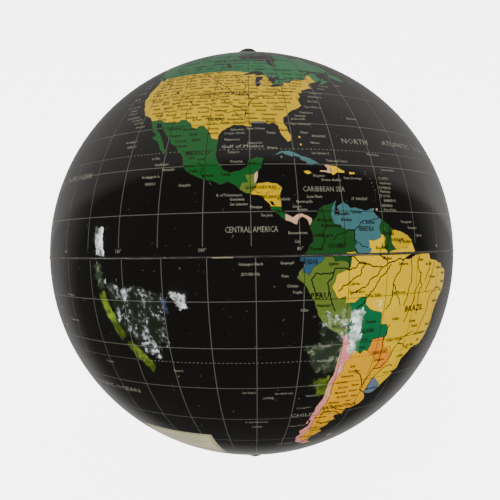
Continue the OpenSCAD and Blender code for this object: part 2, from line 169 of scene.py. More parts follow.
# Smaller lands, with the colour that each takes
ISLANDS = """
canada: -61 66.7, -65.5 62.2, -72 64.2, -73 68, -78.5 70, -89 71, -90 73.7, -80.5 73.7, -70 70.7, -65 68;
canada: -86 65.7, -81 64, -84 62.9, -87 64;
canada: -117 69, -105 68.8, -101.5 69.7, -104.5 72.8, -114 73, -118.5 71.5;
canada: -125 72, -123 71.2, -117.5 73, -121.5 74.5;
canada: -96.5 76.8, -80 75.7, -81 74.6, -92 74.8;
canada: -89 76.5, -78.5 76.5, -74 79.2, -62 82.5, -75 83.1, -91 81.9, -87 79.5;
canada: -96 72, -90.5 73, -91.5 74, -100 73.8, -102 72.5, -99 71.5;
canada: -117 76, -106 74.8, -114 74.7;
canada: -59.3 47.7, -57.4 50.7, -55.6 51.6, -56 50, -53.6 49.3, -52.8 47.5, -53.6 46.7, -55.8 46.9;
canada: -128.4 50.8, -125.2 50.1, -123.4 48.4, -125.2 48.8, -127.4 49.9;
canada: -133 54.1, -131.7 54, -131.3 52.3, -132.5 53.2;
cuba: -84.9 21.9, -83.2 22.9, -81 23.1, -79.3 22.4, -77.3 21.6, -75.6 21, -74.2 20.2, -77.5 19.85,
  -77.2 20.5, -78.3 20.8, -78.8 21.6, -81.8 22.1, -82.6 22.6, -83.9 22.1;
brazil: -71.7 19.85, -70.2 19.7, -69.6 19.2, -68.4 18.7, -68.4 18.2, -70.4 18.2, -71.4 17.6, -71.8 18.1;
cream: -71.7 19.85, -73.2 19.9, -72.6 19.2, -72.6 18.6, -74.3 18.7, -74.4 18.3, -73.3 18.3, -71.8 18.1;
brazil: -78.3 18.4, -77 18.6, -76.2 18, -77.2 17.7;
brazil: -67.2 18.5, -65.7 18.4, -65.8 18, -67.2 17.9;
argentina: -68.6 -52.7, -67.5 -53.9, -65.2 -54.6, -68.6 -55;
chile: -68.6 -52.7, -70.4 -52.9, -71.5 -54.2, -69 -55.3, -68.6 -55;
chile: -74.1 -41.9, -73.5 -42, -73.5 -43.2, -74.3 -43.3;
cream: -5.5 50.1, 1.4 51.2, 1.7 52.7, -1.5 55, -2 57.7, -3.1 58.6, -5.5 58, -3.2 54, -4.5 53.2, -5.2 51.8;
canada: -10 52, -6.3 52.3, -5.6 54.6, -7.5 55.3, -10 54;
olive: -22.5 64, -18 63.4, -13.6 65, -16 66.5, -24 65.6;
olive: 11 79, 17 76.6, 25 80;
chile: 52 71, 57 70.7, 69 76.8, 56 74;
paraguay: 131 34.2, 133.8 33.5, 140 35.3, 142 39.5, 140.5 41.4, 139.8 38.8, 136 36;
paraguay: 140 42, 145.4 43.3, 142 45.4;
paraguay: 130 33, 131.5 31.3, 132 33.6;
chile: 142 46, 143.5 49, 143 54, 142 51;
mexico: 120.2 23.5, 121 25.3, 121.8 24.8, 120.8 22;
canada: 119.8 16.4, 120.7 18.6, 122.2 18.4, 121.6 15.5, 123.8 13, 120.6 14;
canada: 122 7, 125.4 9.8, 126.5 7.5, 125.3 5.8;
cuba: 109 1.5, 111.5 2.6, 115.5 5.6, 117 7, 119 5, 117.5 1, 116 -4, 110.3 -2.8;
cuba: 95.3 5.6, 97.5 5.2, 103.5 0, 106 -3, 105.7 -5.8, 102 -4, 98.5 1.5;
cuba: 105.2 -6.8, 108 -6.5, 112.8 -7, 114.5 -8.5, 109 -7.8;
cuba: 119.5 -5.5, 120.8 -3, 121.3 1.2, 125 1.5, 121 0.5, 123 -4.5, 121 -3;
brazil: 131 -0.8, 134.5 -0.9, 141 -2.6, 147 -6, 150.8 -10.4, 146 -8.3, 141 -9, 138 -8.2, 133.5 -4;
usa: 79.9 9.7, 81.3 8.5, 81.7 6.8, 80.2 6;
olive: 44.3 -20, 44.5 -16.3, 49.2 -12, 50.4 -15.8, 47 -25, 44.2 -24.8;
brazil: 144.8 -40.8, 148.2 -40.9, 147.5 -43.5, 146 -43.4;
uruguay: 172.8 -34.5, 175.8 -36.9, 178.3 -37.8, 177 -39.5, 175.2 -41.6, 174 -39.3;
uruguay: 172.8 -40.6, 174.2 -41.6, 170.5 -46, 168.3 -46.6, 166.6 -45.9, 171 -42.5
"""
# Islands too small for an outline: colour, longitude, latitude and radius in degrees
ISLETS = """
brazil -78 26.4 .3, brazil -78 24.6 .28, brazil -75.8 23.6 .12, brazil -73.2 22.4 .12,
cream -61.4 10.4 .4, brazil -63 18.1 .12, cream -61.8 17.1 .12, cream -61.5 16.2 .17,
cream -61.3 15.4 .12, cream -61 14.6 .15, cream -61 13.9 .11, cream -61.2 13.2 .1, cream -61.7 12.1 .1,
cream -59.5 13.1 .12, cuba -69.9 12.5 .12, cuba -68.9 12.1 .14, ecuador -91.1 -.6 .55,
ecuador -90.2 -.7 .28, ecuador -89.5 -.8 .2, usa -155.5 19.5 .65, usa -156.4 20.8 .3, usa -158 21.5 .3,
usa -159.5 22 .28, usa -153.5 57.5 .9, cream -59.4 -51.8 .6, cream -58.3 -51.7 .5,
canada -63.2 46.4 .35, canada -62.8 49.5 .6, usa -64.8 32.3 .12, olive -118.3 29 .15,
chile -109.4 -27.1 .16, chile -78.8 -33.6 .16, mexico -111 18.7 .14, cuba -82.9 21.6 .3,
cream -25.5 37.8 .3, cream -28.5 38.6 .3, cream -16.5 28.3 .35, cream -23.6 15.1 .3, uruguay 168 -16 .5,
uruguay 178 -17.8 .6, uruguay 165.5 -21.3 .8, cream 57.5 -20.2 .3, cream 55.5 -21.1 .3,
cuba 160 -9.5 .8, cuba 147 -2 .5
"""
LAKES = """
-92.1 46.7, -90.5 46.8, -88.5 47.1, -87.9 47.4, -87.4 46.5, -85 46.7, -84.6 46.5, -85 47.9, -86.5 48.7,
  -88.4 48.6, -89.5 47.9;
-87.6 41.7, -86.9 41.7, -86.2 42.5, -86.5 44, -85.3 45.2, -85 45.9, -86.5 45.9, -87.6 45.1, -87.8 43.5;
-84.6 45.9, -83.4 45.2, -83.4 44.1, -83.9 43.7, -82.9 43.9, -82.5 43, -81.7 43.4, -81.4 45, -80 44.5,
  -80.2 45.5, -81.8 46.1, -83.5 46.2;
-83.4 41.7, -82.5 41.5, -80.5 42, -79 42.7, -79.3 42.9, -81.3 42.7, -82.9 42.2;
-79.8 43.3, -77.5 43.25, -76.3 43.5, -76.4 44.1, -78 43.9, -79.4 43.7;
-97 50.5, -96.3 51.5, -97.8 53.8, -99.2 53.3, -98 52;
-124.5 65.4, -121 65, -118.5 66.4, -122 66.9;
-117 61.2, -114 60.9, -110 62.7, -113 62.2;
-86 12.1, -85.5 11.3, -84.9 11.2, -85.4 12;
-70.1 -15.5, -69.3 -15.5, -68.7 -16.4, -69.4 -16.3;
-112.9 41.6, -112.2 41.6, -112 40.7, -112.7 40.9;
-54.6 -2.2, -52.6 -1.5, -51.3 -0.8, -50.8 0.6, -48.2 0.6, -47.6 -0.7, -48.5 -0.9, -49.3 -1.5, -50.6 -1.5,
  -51.9 -2, -53.1 -2.4;
47.5 45.5, 51.5 46.8, 53 45, 51 44.5, 53 42, 53.8 39, 53.8 37, 50 37.4, 49.5 40.5, 47.5 43;
31.8 -0.5, 34 0.3, 34 -1.5, 33 -2.6, 31.8 -2.4;
104 51.5, 107 52.2, 109.8 55.5, 108.5 54.5, 105 51.9
"""
# Countries, first come first served: each is clipped by the coast and by the countries above it
COUNTRIES = """
usa: -141 72, -141 60.3, -139 60, -137.5 58.9, -135.5 59.7, -133.5 58.4, -131.8 56.8, -130 55.9,
  -130.2 54.7, -134 54, -165 50, -180 50, -175 72;
usa: -126 48.4, -123.3 48.3, -123 49, -95.15 49, -94.6 48.7, -93 48.6, -91.4 48.1, -89.6 48, -88.4 48.3,
  -84.9 46.9, -84.5 46.5, -83.6 46.1, -82.5 45.3, -82.1 43.6, -82.5 42.6, -83.1 42.2, -82.7 41.7,
  -79 42.8, -79.2 43.5, -76.8 43.6, -76.3 44.2, -74.9 45, -71.5 45, -70.8 45.4, -70.2 46.3, -69.2 47.4,
  -67.8 47.1, -67.8 45.7, -67 44.8, -66 43, -74 38, -79.5 31, -79.8 24.8, -83 24.3, -96.6 25.6,
  -97.15 25.95, -99.1 26.4, -99.5 27.5, -100.6 28.9, -101.4 29.8, -102.6 29.7, -103.2 29, -104.5 29.6,
  -105 30.7, -106.5 31.8, -108.2 31.8, -108.2 31.33, -111.07 31.33, -114.8 32.5, -117.15 32.53, -119 32,
  -126 40;
mexico: -92.6 14, -92.2 15.1, -91.7 16.1, -90.4 16.1, -91 17.2, -91 17.8, -89.15 17.8, -88.4 18.5,
  -87.8 18.2, -86 19, -85.5 22.5, -96 26.5, -98 34, -120 34, -118 20, -97 13.5;
cream: -89.2 17.9, -88.3 18.7, -87.3 18.3, -87.9 15.9, -89.2 15.9;
olive: -92.7 14, -92.7 18, -89.2 18, -89.2 15.9, -88.2 15.9, -89.2 15, -89.35 14.5, -90.1 13.7,
  -92.3 13.2;
usa: -90.3 13.6, -89.4 14.45, -88.5 13.95, -87.75 13.85, -87.8 13.3, -88.4 12.6, -90 13;
usa: -83 16.6, -89 16.2, -89.4 14.4, -88.5 13.9, -87.6 13.6, -87.6 12.9, -86.7 13.3, -86.7 13.8,
  -85.1 14.5, -83 15;
usa: -82.9 15.2, -82.9 10.9, -83.65 10.9, -84.9 11, -85.7 11.05, -86.5 10.8, -88 12.8, -87.4 13.4;
mexico: -83.5 11.4, -82.3 9.8, -82.6 9.5, -82.9 9.4, -82.9 7.8, -84 8, -86.5 9.5, -86 11.2;
cream: -83.1 10, -83 7.4, -80.5 6.8, -77.9 7, -77.3 7.9, -77.2 8.8, -79.5 10.2;
usa: -57.2 6.5, -57.9 4.6, -57.9 3.5, -56.5 1.9, -54.6 2.3, -52.9 2.2, -51.7 4.1, -51 4.8, -52.5 6.5;
colombia: -59.6 9, -60.7 7.5, -61.2 6.5, -60.7 5.2, -60.1 5.1, -59.6 4.4, -59.9 2.3, -59 1.3, -57 1.9,
  -56.4 1.9, -56.8 6.6;
venezuela: -71.3 12.6, -72 11.7, -72.5 11, -73 9.3, -72.4 7.4, -71 7, -69.4 6.1, -67.5 6.2, -67.8 4.5,
  -67.3 3.3, -67.8 2.8, -66.9 1.2, -65.5 0.8, -64 1.4, -63.4 2.2, -64.1 2.5, -64.2 4.1, -62.8 3.9,
  -61 4.5, -60.7 5.2, -59.5 9.6, -61 12;
ecuador: -79.3 1.8, -78.8 1.4, -77.7 0.8, -76.3 0.4, -75.3 -0.1, -75.5 -1.5, -76.6 -2.6, -78.2 -3.4,
  -78.7 -4.6, -79.1 -5, -79.6 -4.4, -80.4 -4.4, -80.2 -3.4, -81 -3.2, -83 -1;
colombia: -75.3 -0.1, -74 -1, -73.2 -2.4, -71.7 -2.2, -70.1 -2.7, -69.95 -4.25, -69.4 -1.1, -69.9 -0.5,
  -70 0.6, -69.2 1, -69.8 1.7, -67.9 1.75, -67.1 1.2, -66.8 1.2, -66.5 7, -70 13, -77 13, -79 9, -80 4,
  -80 1.5, -77.7 0.8;
olive: -69.95 -4.25, -70.8 -4.2, -72.9 -5.1, -73.2 -6.4, -73.9 -7.4, -72.8 -9.4, -72.2 -10, -70.5 -9.5,
  -70.6 -11, -69.6 -10.95, -69 -12.6, -69 -14.4, -69.2 -15.5, -69 -16.4, -69.6 -17.5, -69.9 -18.2,
  -70.5 -18.4, -73 -19, -83 -6, -81 -3.3, -78 -2, -75.3 -0.1, -70 -2.4;
bolivia: -69.6 -10.95, -68.3 -11, -66.7 -9.9, -65.4 -9.8, -65.4 -11.5, -64.3 -12.5, -60.5 -13.7,
  -60.2 -16.3, -58.4 -16.3, -57.6 -18.1, -58.2 -19.8, -59.1 -19.3, -61.8 -19.6, -62.6 -22.2, -63.9 -22,
  -64.5 -22.8, -65.5 -22.1, -66.3 -21.8, -67.2 -22.8, -67.9 -21.5, -68.5 -20, -69.1 -18, -69.6 -17.5;
paraguay: -58.2 -19.8, -57.9 -22.1, -56.4 -22.2, -55.4 -24, -54.3 -24.1, -54.6 -25.6, -54.8 -26.6,
  -55.9 -27.4, -58.6 -27.3, -57.6 -25.5, -60 -24, -62.6 -22.2, -61.8 -19.6, -59.1 -19.3;
uruguay: -57.6 -30.2, -56.9 -30.1, -55.6 -30.9, -54.2 -31.9, -53.2 -32.7, -53.4 -33.7, -52.5 -34.3,
  -55 -36, -58.6 -34.4, -58.4 -33.9, -58.1 -32.5;
argentina: -67.2 -22.8, -67.3 -24, -68.4 -24.5, -68.5 -26.5, -69.5 -28.5, -70.4 -31.5, -69.9 -33.3,
  -70.4 -36, -71.2 -37.5, -71 -38.8, -71.8 -40.5, -71.8 -44.4, -71.3 -45.3, -72 -47, -73.2 -50.3,
  -71.9 -52, -68.4 -52.35, -64 -53, -55 -40, -57 -35, -58.2 -33, -57.6 -30.2, -55.9 -28.2, -53.8 -27.1,
  -53.7 -26.2, -55 -22, -66 -21.5;
chile: -66.5 -17.4, -66 -30, -66 -56.5, -78 -56.5, -78 -30, -72 -18;
canada: -142 76, -142 58, -130 45, -90 41, -50 41, -50 76;
chile: 28 71, 30.5 69, 28.8 62.5, 27.5 60, 27.8 57.5, 31 54, 34 50.5, 39.5 49.5, 38 47, 36.5 45, 43 43,
  47.5 41.8, 49.5 45.5, 47.5 50, 61 51, 61.5 54, 71 54.5, 80 51, 87.5 49, 98 50.5, 108 49.5, 116.5 49.8,
  121 53.3, 126 53, 131 47.8, 135 48.4, 131 43, 131 42, 142 44, 165 50, 192 60, 192 80, 60 80;
paraguay: 87.5 49, 91 47, 96 43, 105 42, 111.5 44, 116.5 46.5, 119.8 47, 116.5 49.8, 108 49.5, 98 50.5;
brazil: 131 42.5, 124.5 40, 120 38, 125 30, 120 22, 110 17.5, 108 21.5, 102 22.3, 98.5 24, 97.5 28.3,
  92 27.8, 86 28, 81 30.3, 78 34, 74 37.5, 74 39.8, 80.5 42, 82.5 45.3, 87.5 49, 110 52, 128 54;
canada: 87.5 49, 82.5 45.3, 80.5 42, 74 42.8, 68 41.5, 62 43.5, 56 41.3, 53 42.5, 49 45, 47.5 50, 61 51,
  71 54.5, 80 51;
usa: 97.3 28, 92 27.8, 86 28, 81 30.3, 78 34, 74 34, 75 31.5, 70 27.5, 68 24, 66 8, 85 6, 92 21, 89 22,
  89 26, 95 26.5;
mexico: 68 23.5, 70 27.5, 75 31.5, 74 36.8, 68 36, 61 29.6, 61 24;
argentina: 61.8 24.6, 61 29.6, 61 36, 53.8 37.3, 48 39.5, 44.8 39.7, 46 35.5, 48 30.3, 51 26.8, 57 25.6;
uruguay: 48.3 30, 46 35.5, 44.5 37.2, 42 37.2, 38.8 33.3, 44 29.2, 47 29;
cream: 38.8 33.3, 34.9 29.3, 40 19, 42.8 16.5, 47 17, 52 19, 55 22.7, 56 24, 51 26, 48.5 29, 44 29.2;
paraguay: 44.8 39.7, 44.5 37.2, 36.5 36.2, 30 35.5, 25.5 36.5, 26 41.5, 42 42.5;
olive: 92 27.8, 97.5 28.3, 98.5 24, 101 21, 98 18, 99 10, 95 14, 92 21;
canada: 101 21.5, 98 18, 98.8 10, 101 6, 102.5 12, 106 15;
ecuador: 101 21.5, 106 15, 102.5 12, 104 8, 111 12, 108 21.6, 105 23;
mexico: 4 64, 4 57, 12 56, 12.5 61, 14 65, 20 69, 31 70, 25 73;
brazil: 12.5 56, 12.5 61, 14 65, 20 69, 24 66, 19 61, 20 57, 15 55;
cuba: 20 69, 29 70, 30.5 69, 28.8 62.5, 27.5 60, 20 59.8, 20.5 64, 24 66;
olive: -10 36, -1 36, 3.3 42.5, -1.8 43.4, -10 44;
bolivia: -1.8 43.4, 3.3 42.5, 7.5 43.7, 7 46, 8 49, 2.5 51.2, -6 49;
paraguay: 6.5 51, 8 47.6, 13 47.6, 12.3 50.3, 14.5 51, 14.3 54.5, 7 55;
canada: 7 46, 7.5 43.7, 12 37, 20 38, 13.5 46.6;
cream: 14.3 54.5, 14.5 51, 18.5 49.5, 23 49, 24 54, 19 55;
usa: 24 54, 22.5 48, 30 45, 40 46, 39.5 50, 32 53, 28 56, 21 55.5;
bolivia: -9 27, -5.9 36, 10 38, 9 30, 12 23.5, 4 19, -4 25;
usa: 9 30, 12 38, 25.2 32.5, 25 20, 15 23.5, 12 23.5;
mexico: 25.2 32.5, 33 32, 34.5 27, 37 22, 25 22;
cuba: 25 22, 37 22, 39 15.5, 36 13, 34 4, 27.5 5, 22.5 12, 24 19.5;
paraguay: 15 23.5, 24 19.5, 22.5 12, 19 9, 15 8, 14 13;
chile: 4 19, 12 23.5, 15 23.5, 14 13, 3.5 11.8, -12 14, -12 15.5, -5 15.5, -4 25;
canada: -18 28, -9 27, -4 25, -5 15.5, -12 15.5, -18 16;
olive: 3.5 11.8, 14 13, 14.5 7, 9 2, 2.7 6;
brazil: -18 15, -12 14, -4 11, 2.7 12, 2.7 6, -8 3, -18 10;
canada: 36 13, 43 12, 48 8, 42 4, 36 4;
cream: 42 4, 48 8, 51 12.5, 52 8, 42 -2, 41 -1.5;
brazil: 14.5 7, 27.5 5, 31 2, 29.5 -6, 28.5 -12, 22 -11, 17 -8, 12 -6, 17 -1, 18.5 4;
usa: 31 4, 36 4, 42 4, 41 -5, 34 -1, 31 -1;
mexico: 31 -1, 34 -1, 41 -5, 41 -11, 34.5 -11, 31 -8, 29.5 -5;
olive: 17 -8, 22 -11, 22 -17.5, 11 -17.5, 12 -6;
paraguay: 22 -11, 28.5 -12, 29 -9, 33 -10, 33 -14, 27 -17.5, 22 -17.5;
chile: 33 -10, 41 -11, 41 -18, 36 -27, 32 -26.5, 32 -22, 30 -16;
usa: 11 -17.5, 25 -17.8, 21 -22, 20 -28.4, 15 -29;
colombia: 20 -24, 25 -17.8, 32 -22, 32 -26.5, 36 -30, 18 -36, 14 -28, 20 -28.4;
cuba: 9 2, 14.5 7, 18.5 4, 17 -1, 12 -6, 8 -2;
ice: 180 -60, 120 -60, 60 -60, 0 -60, -60 -60, -120 -60
"""
RIVERS = """
-89.3 29.1, -91.3 31.2, -91 33, -90.2 35, -89.3 36.9, -90.2 38.7, -91.2 40.3, -90.9 42.3, -93.2 45,
  -95 47.2;
-90.2 38.8, -94.6 39.1, -96 41.3, -98.5 42.9, -100.4 44.4, -104 48, -108 47.7, -111.6 46;
-89.2 37, -87.5 37.9, -85.7 38.3, -82.5 38.4, -80.6 40.4;
-91.1 33.8, -94.4 35.4, -98 37.5, -102.6 38.1, -105.5 38.6;
-91.6 31.1, -94 33.5, -98 34, -101.5 34.8;
-106.5 31.8, -106.9 34.5, -105.8 36.5, -106.8 37.7;
-114.8 32, -114.5 34.8, -113.9 36.1, -111.5 36.9, -109.6 38.4, -106.5 40;
-124 46.2, -121.2 45.7, -119 46, -117 46.4, -116.9 44, -114 42.6, -111.5 43.5;
-119 46, -118 48.5, -116 50, -118 52;
-71 46.9, -74 45.3, -76.3 44.2;
-134.5 69.2, -130 67, -125 64.8, -121 62, -116 61.2;
-97.5 53.5, -106 53.2, -113.5 53.5;
-111.5 58.8, -117 57, -122 56;
-164.5 62.8, -160 62.5, -156 64.8, -150 65.2, -145 66.4, -141 64.8, -134.5 60.8;
-99.5 16.9, -101 18.2, -100.5 20, -101.8 20.6;
-51 -0.9, -52.2 -1.6, -54.7 -2.4, -57.2 -2.5, -59.9 -3.2, -62.5 -3.8, -64.8 -3.3, -67 -2.6, -70 -4.2,
  -73.3 -3.7, -73.6 -4.7, -75.5 -4.8, -77.5 -4.6, -78.5 -6, -77 -9.2;
-73.6 -4.6, -74.9 -6.5, -74.5 -8.5, -73.8 -10.8, -72.8 -12.5;
-59.9 -3.1, -61.9 -1.4, -64.5 -0.4, -66.9 1.2, -67.7 2.4;
-61.9 -1.4, -61.3 1.5, -60.5 3.5;
-64.8 -3.1, -69.5 -1.4, -73 0.2, -75.8 1.4;
-58.8 -3.4, -60.5 -5.2, -62.9 -7.5, -63.9 -8.8, -65.3 -10.2, -67 -11.8, -68.8 -13;
-61.5 -3.8, -64 -6, -66.8 -8, -69.5 -9.2;
-65.8 -2.7, -67.3 -5.5, -69.9 -6.8, -72.4 -8.5;
-54.8 -2.4, -56 -4.6, -58.1 -7.5, -58 -10.5, -59.5 -13;
-58.1 -7.5, -56.5 -10, -55 -12.5;
-52.2 -1.8, -52.2 -3.5, -51.9 -6.5, -52.7 -9, -53.8 -12.5;
-49 -1.7, -49.6 -4, -48.3 -6, -47.5 -8.5, -48.5 -12, -48.1 -15;
-48.4 -5.4, -50.2 -9.5, -50.8 -13, -52.5 -16.5;
-44.3 -2.9, -44.5 -5, -46 -7.5;
-42 -3.2, -42.8 -5.2, -44.5 -8, -45.5 -10;
-36.4 -10.5, -38.2 -9.3, -40.5 -9.4, -43.2 -11.5, -43.5 -14.5, -44.9 -17.3, -45.2 -20;
-58.5 -34, -60.6 -32.8, -60.2 -30.5, -58.6 -27.3, -56 -27.4, -54.6 -25.6, -54 -23.5, -51.5 -20.5,
  -47.8 -19;
-58.6 -27.3, -57.6 -25.3, -57.9 -22.5, -57.8 -19, -57.4 -16.5;
-58.4 -33.9, -57.9 -31.5, -56.5 -29, -54 -27.2, -51.5 -27.6;
-52.5 -21.6, -49.5 -22.7, -47.5 -23.3;
-60.9 8.7, -63.5 8.1, -66 7.7, -67.5 6.2, -67.8 4, -66 2.8, -64.5 2.4;
-67.6 6.2, -70.5 5.5, -72.8 4.2;
-74.8 11, -74.5 9, -74 7, -74.8 5, -75.3 2.5;
-58.4 6.8, -58.6 4.5, -59.3 2.2;
-62 -39.8, -65.5 -38.8, -69 -36.9;
-62.8 -41, -66 -39.2, -68.5 -38.9, -70.5 -40;
-60.6 -31.7, -62.5 -28.5, -64.8 -26.8;
-65.1 -43.3, -68.3 -43.8, -70.8 -42.5;
31.2 31.2, 31 27, 32.8 24, 31 19, 33.5 16, 32.5 11, 31.8 5, 32 1;
12.5 -6, 16 -4, 18.5 0, 23 2, 25.5 -1, 26 -7;
6 4.6, 6.7 8, 4 12, 0 16.5, -4.5 14, -8 12;
35.8 -18.5, 33 -15.6, 28 -16.2, 25 -17.8, 23 -14;
16.6 -28.6, 22 -29, 27 -30.5;
71 66.5, 66 62, 70 59.5, 76 59, 82 54, 87 50;
82 72, 86 66, 89 61, 92 56, 94 52;
127 72, 125 66, 128 62, 118 60, 108 56;
121.8 31.5, 117 31, 112 30, 106 29.5, 100 27, 97 33;
118.5 37.7, 114 35, 110.5 35.5, 110 40.5, 106 38, 102 36;
88.5 22, 86 25.3, 81 25.5, 78 30;
67.5 24, 68 28, 72 31, 74 35, 80 32;
45.2 29.6, 44 33, 41 36, 38.5 38.5;
28.8 45.2, 23 43.8, 19 46, 16.5 48.1, 10 48.6;
47.8 46, 46 49, 50 53, 49 55.8, 41 57
"""

# ---------------------------------------------------------------- lettering: plain place names and numbers
# "height in mm, width in mm, longitude, latitude, text"; the colour is light on the ocean and dark on land
TITLES = """
2.8 23.8 -89.9 6.5 CENTRAL AMERICA
2.6 20.8 -73.9 14.6 CARIBBEAN SEA
3.1 15.2 -63.3 25.9 NORTH
2.9 23.4 -48.3 26.3 ATLANTIC
2.9 15 -36 26.3 OCEAN
2.8 39.5 -134.6 -32.7 PACIFIC OCEAN
3.2 30 -140 20 PACIFIC OCEAN
2.9 8.8 -76.5 -9.2 PERU
3 16 -49.3 -13.4 BRAZIL
2.5 21.6 -65.1 -37.7 ARGENTINA
2.4 11.3 -76.7 -39.3 CHILE
2.4 8 -78.9 -2.3 ECUADOR
2.1 9 -64.7 6.4 VENEZUELA
2.1 8.9 -72 3 COLOMBIA
2.4 12 -102 23 MEXICO
1.7 20 -91.6 24.2 Gulf of Mexico
2.2 11 -64.5 -17.4 BOLIVIA
2 10 -58.4 -23 PARAGUAY
2.4 26 -95 55.6 CANADA
2.2 9 -98.5 31.4 TEXAS
2 22 -97.6 39.3 UNITED STATES
2.2 18 -40 72 GREENLAND
2.8 40 -15 -22 ATLANTIC OCEAN
3 34 78 -22 INDIAN OCEAN
3.2 34 168 22 PACIFIC OCEAN
2.8 30 -150 -52 SOUTH PACIFIC
2.6 26 22 14 AFRICA
2.6 30 95 60 ASIA
2.4 22 15 50 EUROPE
2.8 30 134 -25 AUSTRALIA
2.6 30 60 -80 ANTARCTICA
2.2 14 104 35 CHINA
2 10 79 22 INDIA
2.2 30 100 65 RUSSIA
2 10 3 27 ALGERIA
2 10 18 27 LIBYA
2 9 29.5 27 EGYPT
2 10 30 15 SUDAN
2 12 24 -3 CONGO
2 12 24 -30 SOUTH AFRICA
1.8 9 55 33 IRAN
1.8 12 46 24 ARABIA
2 16 68 48 KAZAKHSTAN
2 12 103 46 MONGOLIA
"""
# "longitude latitude name": small names at sea, all of one size
PLACES = """
-121.2 27.1 Guadalupe I., -120.6 25.8 MEXICO, -112.8 18 Revillagigedo Is., -112.7 16.5 MEXICO,
-91 -2.6 Galapagos Islands, -91.1 -4.6 (ECUADOR), -92 -31.2 San Felix I., -83 -31.7 San Ambrosio,
-87 -33 (CHILE), -90 -41.2 Is. Juan Fernandez, -90 -43.2 (CHILE), -59 22.9 West Indies,
-73 26.8 BAHAMAS, -74.4 25.1 Nassau, -69.8 20.9 Turks and Caicos, -72 16.6 Greater Antilles,
-66.5 17 Santo Domingo, -55.5 19.4 Lesser Antilles, -74.8 17.4 Kingston, -73.5 22.6 San Salvador I.,
-88.8 24.9 Campeche, -84.8 23.8 Havana, -57.7 17.3 ST. KITTS, -57.4 16.2 Guadeloupe,
-57.8 15.2 DOMINICA, -57.9 14.3 Martinique, -58.3 13.4 ST. LUCIA, -57 12.4 BARBADOS, -58.2 11.3 GRENADA,
-65.6 12.6 ST. VINCENT, -57.4 10.3 Port of Spain, -52.6 7.8 Georgetown, -50.6 6.6 Paramaribo,
-48.4 4.9 Cayenne, -83 12.5 Bluefields, -80.3 11 Limon, -79.2 10.4 Panama, -78.6 11.9 Barranquilla,
-76.3 13 Santa Marta, -92.8 12.6 Guatemala, -92.4 11.6 San Salvador, -88.9 10.9 Managua,
-86.7 9.2 San Jose, -80.4 5.7 Buenaventura, -80.6 4 Cali, -83.2 -0.6 Quito, -83.6 -2.5 Guayaquil,
-84 -5 Piura, -82.4 -7.1 Chiclayo, -81.4 -8.4 Trujillo, -79.8 -12 Callao, -74.4 -12.9 Lima,
-74 -20.2 Iquique, -74 -23.7 Antofagasta, -75.1 -30 Coquimbo, -75.4 -33 Valparaiso,
-76.8 -36.8 Concepcion, -77 -43.6 Puerto Montt, -78.5 -53.2 Punta Arenas, -94.5 13.4 G. of Tehuantepec,
-108.6 19.5 Manzanillo, -104.3 15.8 Acapulco, -112.3 22.3 La Paz, -110.6 20.7 Guadalajara,
-93 20.7 Veracruz, -93.7 22.8 Tampico, -94.1 25.9 Matamoros, -93.6 27.4 Corpus Christi,
-93 28.4 Galveston, -88.4 28.6 New Orleans, -84.8 27.4 Tampa, -76.6 27.6 Miami,
-77.2 29.8 Cape Canaveral, -77.4 31.2 Jacksonville, -76.7 32.2 Savannah, -74.9 33.2 Charleston,
-72.5 34.9 Cape Hatteras, -71.8 36.8 Norfolk, -70.5 38.4 Washington, -69.5 39.8 New York,
-66.6 41.8 Boston, -65.2 43 Portland, -59 44.1 Halifax, -49 47.4 St. John's, -61.5 32.3 Bermuda,
-128.3 48.6 Victoria, -129 47.3 Seattle, -128.5 45.8 Portland, -128.6 43.6 Coos Bay, -128.5 41.2 Eureka,
-127.2 38.2 San Francisco, -126.5 37 Oakland, -126 35.8 Monterey, -124.6 34.4 Santa Barbara,
-122.7 33.4 Los Angeles, -121.4 32.4 San Diego, -120.3 31.2 Ensenada, -157.5 23.6 Honolulu,
-151.5 19.6 HAWAIIAN IS., -149 -17.6 Tahiti, -140 -9.5 Marquesas Is., -109 -25.6 Easter I.,
-130 -25 Pitcairn I., -149 -13 Society Is., -141 -15.5 Tuamotu Arch., -152.5 -23 Tubuai Is.
"""
